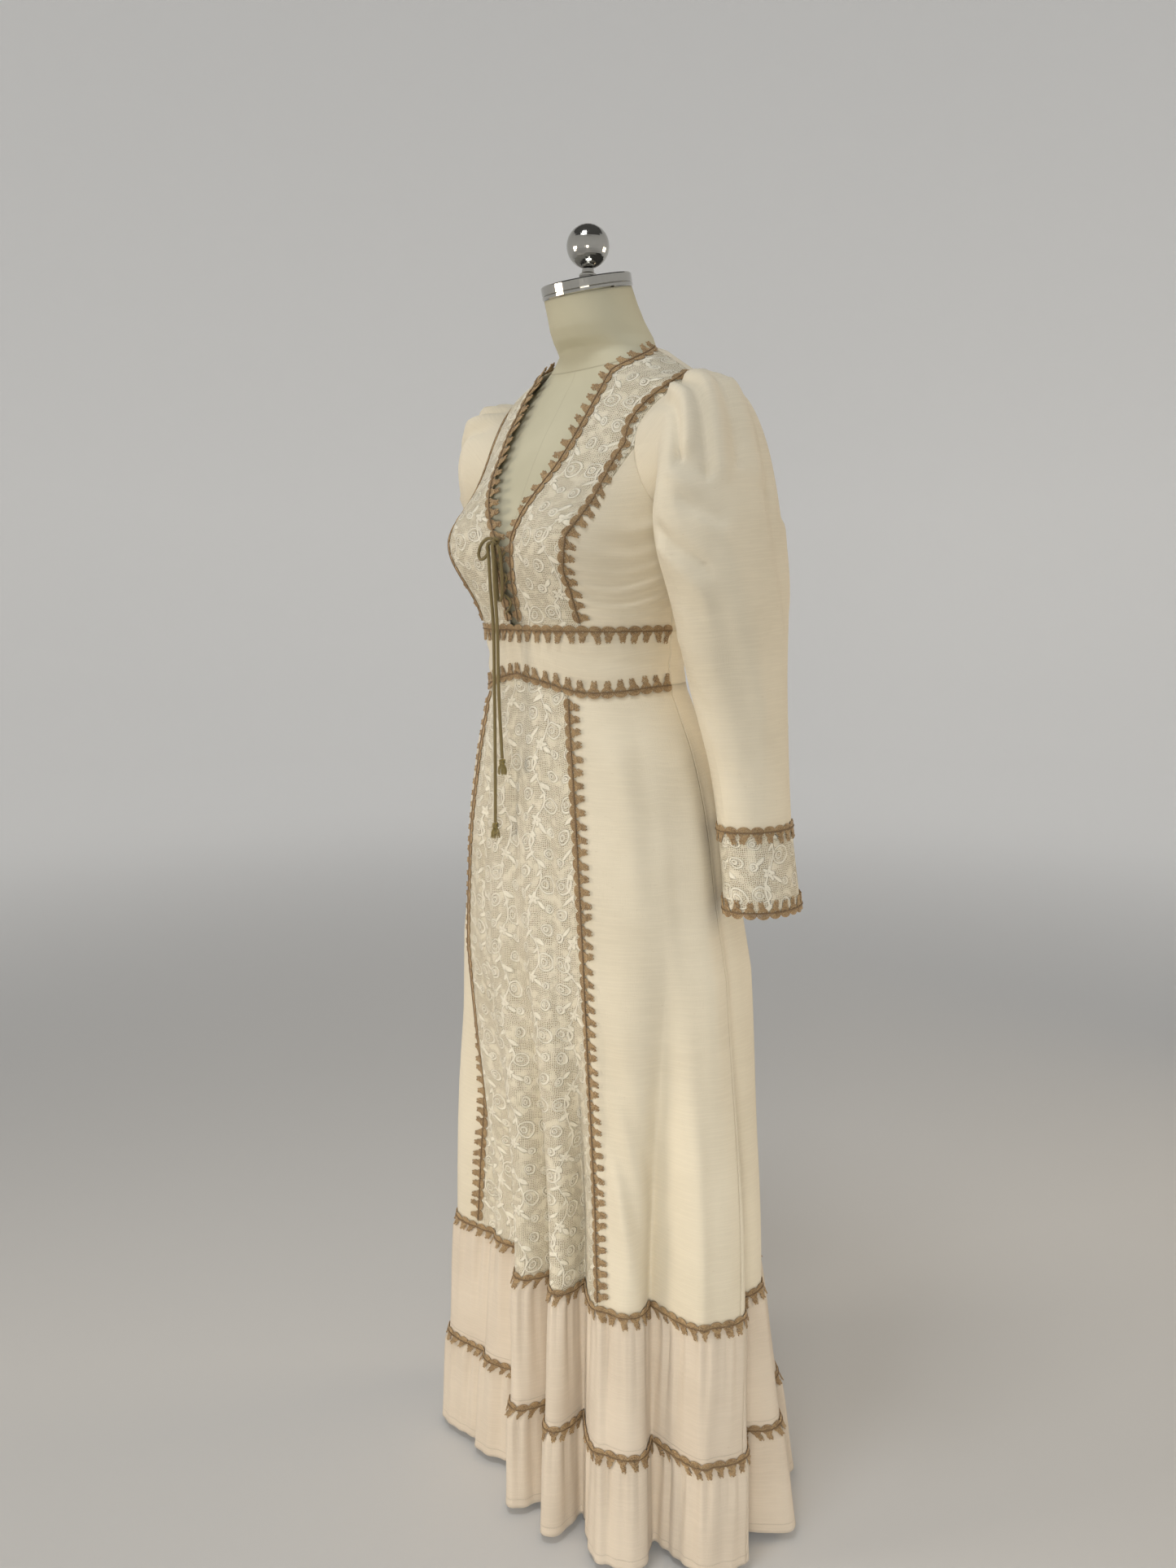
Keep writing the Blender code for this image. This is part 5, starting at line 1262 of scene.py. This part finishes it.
def sleeve_relief(rings):
    """Presses the sleeve's folds into its rings, along their outward direction."""
    pressed_rings = []
    for r, ring in enumerate(rings):
        middle = sum(ring, Vector()) / len(ring)
        calm = ease(r / 8) * ease((len(rings) - 1 - r) / 6)
        row = []
        for c, point in enumerate(ring):
            out = (point - middle).normalized()
            lift = 0.0
            for fold in SLEEVE_FOLDS:
                turn = (360.0 * c / SLEEVE_COLUMNS - fold.turn0 + 180.0) % 360.0 - 180.0
                x, z = math.radians(turn) * SLEEVE_RADIUS, point.z - fold.z0
                dx, dz = math.radians(fold.turn1 - fold.turn0) * SLEEVE_RADIUS, fold.z1 - fold.z0
                share = min(1.0, max(0.0, (x * dx + z * dz) / (dx * dx + dz * dz)))
                taper = 1.0 - 0.45 * abs(2.0 * share - 1.0)
                off = ((x - dx * share) ** 2 + (z - dz * share) ** 2) / (fold.width * taper) ** 2
                if off < FOLD_EDGE:
                    lift += fold.rise * math.exp(-off)
            head = HEAD_GATHER * math.sin(c * 2 * math.pi / HEAD_PITCH)
            head *= math.exp(-((r - HEAD_ROW) / HEAD_ROW) ** 2)
            head *= max(0.0, math.sin(math.radians(360.0 * c / SLEEVE_COLUMNS)))
            row.append(point + out * (lift + head) * calm)
        pressed_rings.append(row)
    return pressed_rings


sleeves, cuffs = {}, {}
for side, word in ((1, "left"), (-1, "right")):
    rings = [armhole_ring(side)]
    rings += [sleeve_ring(ring, side, share) for ring, share in zip(SLEEVE, RIGHT_SHARES)]
    sleeve = sleeve_relief(smoothed(rings, RING_STEPS))[::-1]
    cuff = smoothed([sleeve_ring(ring, side) for ring in CUFF], CUFF_STEPS)[::-1]
    if side < 0:
        sleeve, cuff = [row[::-1] for row in sleeve], [row[::-1] for row in cuff]
    sleeves[word], cuffs[word] = sleeve, cuff
    sewn(cloth("sleeve_" + word + "_cloth", sleeve, CLOTH, cotton, closed=True),
         ["sleeve_" + word], "draped", ("bodice_side_" + word,))
    sewn(cloth("cuff_" + word + "_lace", cuff, LACE, lace_yarn, closed=True),
         ["cuff_" + word], "draped", ("sleeve_" + word,))


# The braid is a looped gimp of tan cotton: a twisted cord down its middle, ribbed
# scallops along one edge, and fans with forked tufts along the other.
PITCH = 0.0146          # from one scallop to the next
STRAND = 0.00082        # radius of a gimp strand
STRAND_LIFT = 0.0004    # between the cloth and the braid
SCALLOP_RIBS = [0.0009, 0.0024, 0.0039, 0.0054]
SCALLOP_STRETCH, SCALLOP_FOOT = 1.30, 0.0007    # its width to its height, and where it starts
FAN_RIBS = [0.0018, 0.0034, 0.0049]
FAN_STRETCH, FAN_FOOT, FAN_FLAT = 1.12, -0.0009, -0.92
ARC_FROM, ARC_TO = -12.0, 192.0                 # degrees of the ring that a rib goes round
Tuft = namedtuple("Tuft", "out half_width")
TUFTS = [Tuft(0.0066, 0.0032), Tuft(0.0082, 0.0037), Tuft(0.0098, 0.0038), Tuft(0.0115, 0.0034)]
TUFT_BEND = 0.0021      # how far a tuft's ends turn back
TUFT_POINTS = (-1.0, -0.5, 0.0, 0.5, 1.0)
FAN_ROOT = 0.0050       # where the tufts spring from
FORK_ROOT = 0.0104
TIP = 0.0134
TWIST_STEP = 0.0021     # between the points of the twisted cord
TWIST_RATE = 1500.0     # radians of twist for each metre
TWIST_WIDE, TWIST_HIGH = 0.00055, 0.0003
TWIST_RADIUS = 0.00062
TWIST_LIFT = STRAND * 2.1
STRAND_SIDES, TWIST_SIDES = 5, 4
GOWN_MIDDLE = np.array([0.0, -0.01, 0.0])

yarn = Finish("tan braid", (0.34, 0.225, 0.12), 0.6, Sheen_Weight=0.2, Sheen_Roughness=0.4)
yarn_place = yarn.own_place()
yarn_fibre_glint = yarn.noise(yarn_place, 900.0, 2.0)
yarn_tone = yarn.noise(yarn_place, 70.0, 2.0).fade(0.35, 0.68)
yarn_thread = yarn.blend(yarn_tone, (0.225, 0.132, 0.056), (0.350, 0.226, 0.108))
# Painted highlights: fine light tan flecks on the strands stand for fibres catching the light; the same noise
# also bumps the fibres.
yarn.paint(yarn.blend(yarn_fibre_glint.fade(0.40, 0.66), yarn_thread, (0.520, 0.372, 0.200)))
yarn.raise_by(yarn_fibre_glint, 0.0005, 0.7)
dark_yarn = Finish("dark middle cord", (0.13, 0.085, 0.050), 0.7)
dark_twist = dark_yarn.noise(dark_yarn.own_place(), 1300.0, 1.0)
dark_yarn.paint(dark_yarn.blend(dark_twist, (0.130, 0.080, 0.040), (0.280, 0.185, 0.095)))
looping = random.Random(5)


def arc(radius, stretch, middle_t, flat, steps, lift):
    """Half a ring of the braid, on the side that flat's sign gives."""
    points = []
    for share in shares(steps):
        turn = math.radians(mix(ARC_FROM, ARC_TO, share))
        points.append((radius * stretch * math.cos(turn), middle_t + flat * radius * math.sin(turn), lift))
    return points


def braid_unit():
    """The strands of one repeat, as (along, across, up) points; each repeat is a little different."""
    swell = looping.uniform(0.93, 1.05)
    strands = [(arc(rib * swell, SCALLOP_STRETCH, SCALLOP_FOOT, 1.0, 8, STRAND), STRAND)
               for rib in SCALLOP_RIBS]
    lean, long = looping.uniform(-0.42, 0.42), looping.uniform(0.84, 1.08)
    strands += [(arc(rib, FAN_STRETCH, FAN_FOOT, FAN_FLAT, 7, STRAND * 1.1), STRAND * 0.95)
                for rib in FAN_RIBS]
    for tuft in TUFTS:
        out = FAN_ROOT + (tuft.out - FAN_ROOT) * long
        wide = tuft.half_width * looping.uniform(0.85, 1.15)
        shift = lean * (out - FAN_ROOT)
        bow = [(shift + wide * k, -out + TUFT_BEND * k * k, STRAND * (1.8 - 0.9 * k * k))
               for k in TUFT_POINTS]
        strands.append((bow, STRAND * 0.85))
    tip = FAN_ROOT + (TIP - FAN_ROOT) * long
    for fork in (-1, 1):
        spread = fork * looping.uniform(0.0006, 0.0026)
        strands.append(([(lean * (FORK_ROOT - FAN_ROOT) + fork * 0.0006, -FORK_ROOT, STRAND * 1.5),
                         (lean * (tip - FAN_ROOT - 0.001) + fork * 0.0026, 0.0012 - tip, STRAND * 2.0),
                         (lean * (tip - FAN_ROOT) + spread * 0.7, -tip, STRAND * 1.5)], STRAND * 0.95))
    return strands


def looped_braid(node, lines, sewn_to, closed=False):
    """Lays the braid along its picot, middle and scallop lines, as a piece that goes with its cloth."""
    picot, middle, scallop = (np.array([tuple(p) for p in line]) for line in lines)
    if closed:
        picot, middle, scallop = (np.concatenate([line, line[:1]]) for line in (picot, middle, scallop))
    steps = np.linalg.norm(np.diff(middle, axis=0), axis=1)
    run = np.concatenate([[0.0], np.cumsum(steps)])
    ahead = np.gradient(middle, axis=0)
    normal = np.cross(ahead, scallop - picot)
    normal /= np.linalg.norm(normal, axis=1)[:, None]
    outwards = middle - GOWN_MIDDLE
    outwards[:, 2] = 0.0
    if node.startswith("braid_cuff"):
        outwards = middle - middle.mean(axis=0)
    if (normal * outwards).sum() < 0:
        normal = -normal

    def place(s, t, n):
        """Points of the strip at distances along and across it."""
        if closed:
            s = np.mod(s, run[-1])
        s = np.clip(s, 0.0, run[-1])
        line = [np.stack([np.interp(s, run, line[:, k]) for k in range(3)], axis=1)
                for line in (picot, middle, scallop, normal)]
        side = np.where(t[:, None] < 0, (line[0] - line[1]) * (-t / PICOTS)[:, None],
                        (line[2] - line[1]) * (t / SCALLOPS)[:, None])
        return line[1] + side + line[3] * n[:, None]

    verts, faces, tones = [], [], []

    def strand(points, radius, sides, tone):
        """A tube along points given as (along, across, up)."""
        points = np.array(points)
        along = np.gradient(points, axis=0)
        along /= np.linalg.norm(along, axis=1)[:, None]
        side = np.cross(along, (0.0, 0.0, 1.0))
        first = len(verts)
        for k in range(sides):
            turn = 2 * math.pi * (k + 0.5) / sides
            ring = points + side * radius * math.cos(turn)
            ring[:, 2] += radius * math.sin(turn)
            verts.extend(place(ring[:, 0], ring[:, 1], ring[:, 2]).tolist())
        count = len(points)
        for k in range(sides):
            a, b = first + k * count, first + ((k + 1) % sides) * count
            faces.extend((a + i, a + i + 1, b + i + 1, b + i) for i in range(count - 1))
            tones.extend([tone] * (count - 1))
        faces.append([first + k * count for k in range(sides)])
        faces.append([first + k * count + count - 1 for k in range(sides)][::-1])
        tones.extend([tone, tone])

    repeats = max(1, round(run[-1] / PITCH))
    pitch = run[-1] / repeats
    for i in range(repeats):
        start = (i + 0.5) * pitch
        for points, radius in braid_unit():
            strand([(start + s * pitch / PITCH, t, n) for s, t, n in points], radius, STRAND_SIDES, 0)
    for phase in (0.0, math.pi):
        twist = []
        for s in np.arange(0.0004, run[-1] - 0.0003, TWIST_STEP):
            turn = s * TWIST_RATE + phase
            twist.append((s, TWIST_WIDE * math.cos(turn), TWIST_LIFT + TWIST_HIGH * math.sin(turn)))
        strand(twist, TWIST_RADIUS, TWIST_SIDES, 1)
    mesh = bpy.data.meshes.new(node + "_looped")
    mesh.from_pydata(verts, [], faces)
    mesh.materials.append(yarn.material)
    mesh.materials.append(dark_yarn.material)
    mesh.polygons.foreach_set("material_index", tones)
    mesh.shade_smooth()
    fixed = bmesh.new()
    fixed.from_mesh(mesh)
    bmesh.ops.recalc_face_normals(fixed, faces=fixed.faces)
    fixed.to_mesh(mesh)
    fixed.free()
    made = bpy.data.objects.new(node + "_looped", mesh)
    bpy.context.scene.collection.objects.link(made)
    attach(made, "root")
    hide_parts(node)
    cloths[sewn_to][3].append(made)


def raised(grid, lift, closed=False):
    """A grid moved out along its normals."""
    points = np.array([[tuple(p) for p in row] for row in grid])
    up = np.gradient(points, axis=0)
    if closed:
        along = np.roll(points, -1, axis=1) - np.roll(points, 1, axis=1)
    else:
        along = np.gradient(points, axis=1)
    normal = np.cross(along, up)
    normal /= np.linalg.norm(normal, axis=2)[:, :, None]
    return [[Vector(p) for p in row] for row in points + normal * lift]


def column(grid, index):
    return [row[index] for row in grid]


def trimmed(lines, bottom, top):
    """A strip's lines without a length at each end."""
    middle = lines[1]
    steps = [0.0]
    for a, b in zip(middle, middle[1:]):
        steps.append(steps[-1] + (b - a).length)
    kept = [i for i, run in enumerate(steps) if bottom <= run <= steps[-1] - top]
    return [[line[i] for i in kept] for line in lines]


def onto_body(point, lift):
    """A point moved to lie just over the body's surface, at its own height."""
    angle = math.degrees(math.atan2(point.x, lookup(TORSO, point.z).middle - point.y))
    return over_body(angle, point.z, lift)


def over_seam(above, below, columns):
    """Lines over a seam, with the tufts on the cloth below it and the scallops on the cloth above."""
    return [[walked(column(below, c)[::-1], PICOTS) for c in columns],
            [(below[-1][c] + above[0][c]) / 2 for c in columns],
            [walked(column(above, c), SCALLOPS) for c in columns]]


OVER_LACE = LACE + STRAND_LIFT
OVER_GATHERS = 0.0006   # more lift for the tufts that lie on a flounce
GAP_HALF = 0.0014       # half the gap between the braids of the two neck edges
ARMHOLE_CLEAR = 0.0040
JOINS_ARMHOLE = 0.55    # share of the seam's height from which the outer braid turns to the armhole
SIDE_REACH, LACE_REACH = 9 * FINE, 5 * FINE     # columns beside a seam of the skirt that its braid may cross

for side, word in ((1, "left"), (-1, "right")):
    lace_rows = [row[::side] for row in raised(bodice["lace_" + word], OVER_LACE)]
    side_rows = [row[::side] for row in raised(bodice["side_" + word], OVER_LACE)]
    neck, panel = ([], [], []), ([], [], [])
    for i, lace_row in enumerate(lace_rows):
        edge = lace_row[0]
        out = (lace_row[0] - lace_row[1]).normalized()
        reach = min(PICOTS, (abs(edge.x) - GAP_HALF) / max(0.2, abs(out.x)))
        over_form = onto_body(edge + out * reach, BODY_GAP + OVER_LACE)
        for line, point in zip(neck, (over_form, edge, walked(lace_row, SCALLOPS))):
            line.append(point)
        inwards = lace_row[::-1]
        points = [walked(inwards, ARMHOLE_CLEAR + k * SCALLOPS) for k in (0, 1, 2)]
        if i < len(side_rows):
            seam = (lace_row[-1] + side_rows[i][0]) / 2
            on_seam = [walked(side_rows[i], PICOTS), seam, walked(inwards, SCALLOPS)]
            share = ease((lower[i] - JOINS_ARMHOLE) / (1 - JOINS_ARMHOLE))
            points = [a.lerp(b, share) for a, b in zip(on_seam, points)]
        for line, point in zip(panel, points):
            line.append(point)
    for piece, lines in (("neck_", neck), ("panel_", panel)):
        looped_braid("braid_" + piece + word, trimmed(lines, SCALLOPS, 0.0), "bodice_lace_" + word + "_cloth")

front_keys = ("side_right", "lace_right", "lace_left", "side_left")
front_pieces = [raised(bodice[key], OVER_LACE) for key in front_keys]
above = [a + b[1:] + c + d[1:] for a, b, c, d in zip(*front_pieces)]
below = raised(midriff_front, OVER_LACE)
looped_braid("braid_underbust", over_seam(above, below, range(len(below[0]))), "midriff_front_cloth")

high = raised(skirt, OVER_LACE, closed=True)
front = range(side_right, side_left + 1)
seam = [high[-1][c] for c in front]
over_midriff = [onto_body(p + Vector((0.0, 0.0, PICOTS)), BODY_GAP + OVER_LACE) for p in seam]
over_skirt = [walked(column(high, c)[::-1], SCALLOPS) for c in front]
looped_braid("braid_waist", [over_midriff, seam, over_skirt], "midriff_front_cloth")

lace_edges = places["skirt_front_lace"]
for word, edge, outwards in (("right", lace_edges[0], -1), ("left", lace_edges[1], 1)):
    lines = ([], [], [])
    for row in high:
        over_side = walked([row[edge + outwards * k] for k in range(SIDE_REACH)], PICOTS)
        over_lace = walked([row[edge - outwards * k] for k in range(LACE_REACH)], SCALLOPS)
        for line, point in zip(lines, (over_side, row[edge], over_lace)):
            line.append(point)
    looped_braid("braid_skirt_" + word, trimmed(lines, SCALLOPS, SCALLOPS), "skirt_front_lace_cloth")

for word, over in (("upper", skirt), ("lower", flounces["upper"])):
    over = raised(over, OVER_LACE, closed=True)
    under = raised(flounces[word], OVER_LACE + OVER_GATHERS, closed=True)
    looped_braid("braid_flounce_" + word, over_seam(over, under, range(len(over[0]))),
                 "flounce_" + word + "_front_cloth", closed=True)

for word in ("left", "right"):
    over, under = raised(sleeves[word], OVER_LACE, closed=True), raised(cuffs[word], OVER_LACE, closed=True)
    ring = range(SLEEVE_COLUMNS)
    looped_braid("braid_cuff_upper_" + word, over_seam(over, under, ring),
                 "cuff_" + word + "_lace", closed=True)
    hem = ([], [], [])
    for c in ring:
        edge = under[0][c]
        below_edge = edge + (edge - under[3][c]).normalized() * SCALLOPS
        for line, point in zip(hem, (walked(column(under, c), PICOTS), edge, below_edge)):
            line.append(point)
    looped_braid("braid_cuff_lower_" + word, hem, "cuff_" + word + "_lace", closed=True)
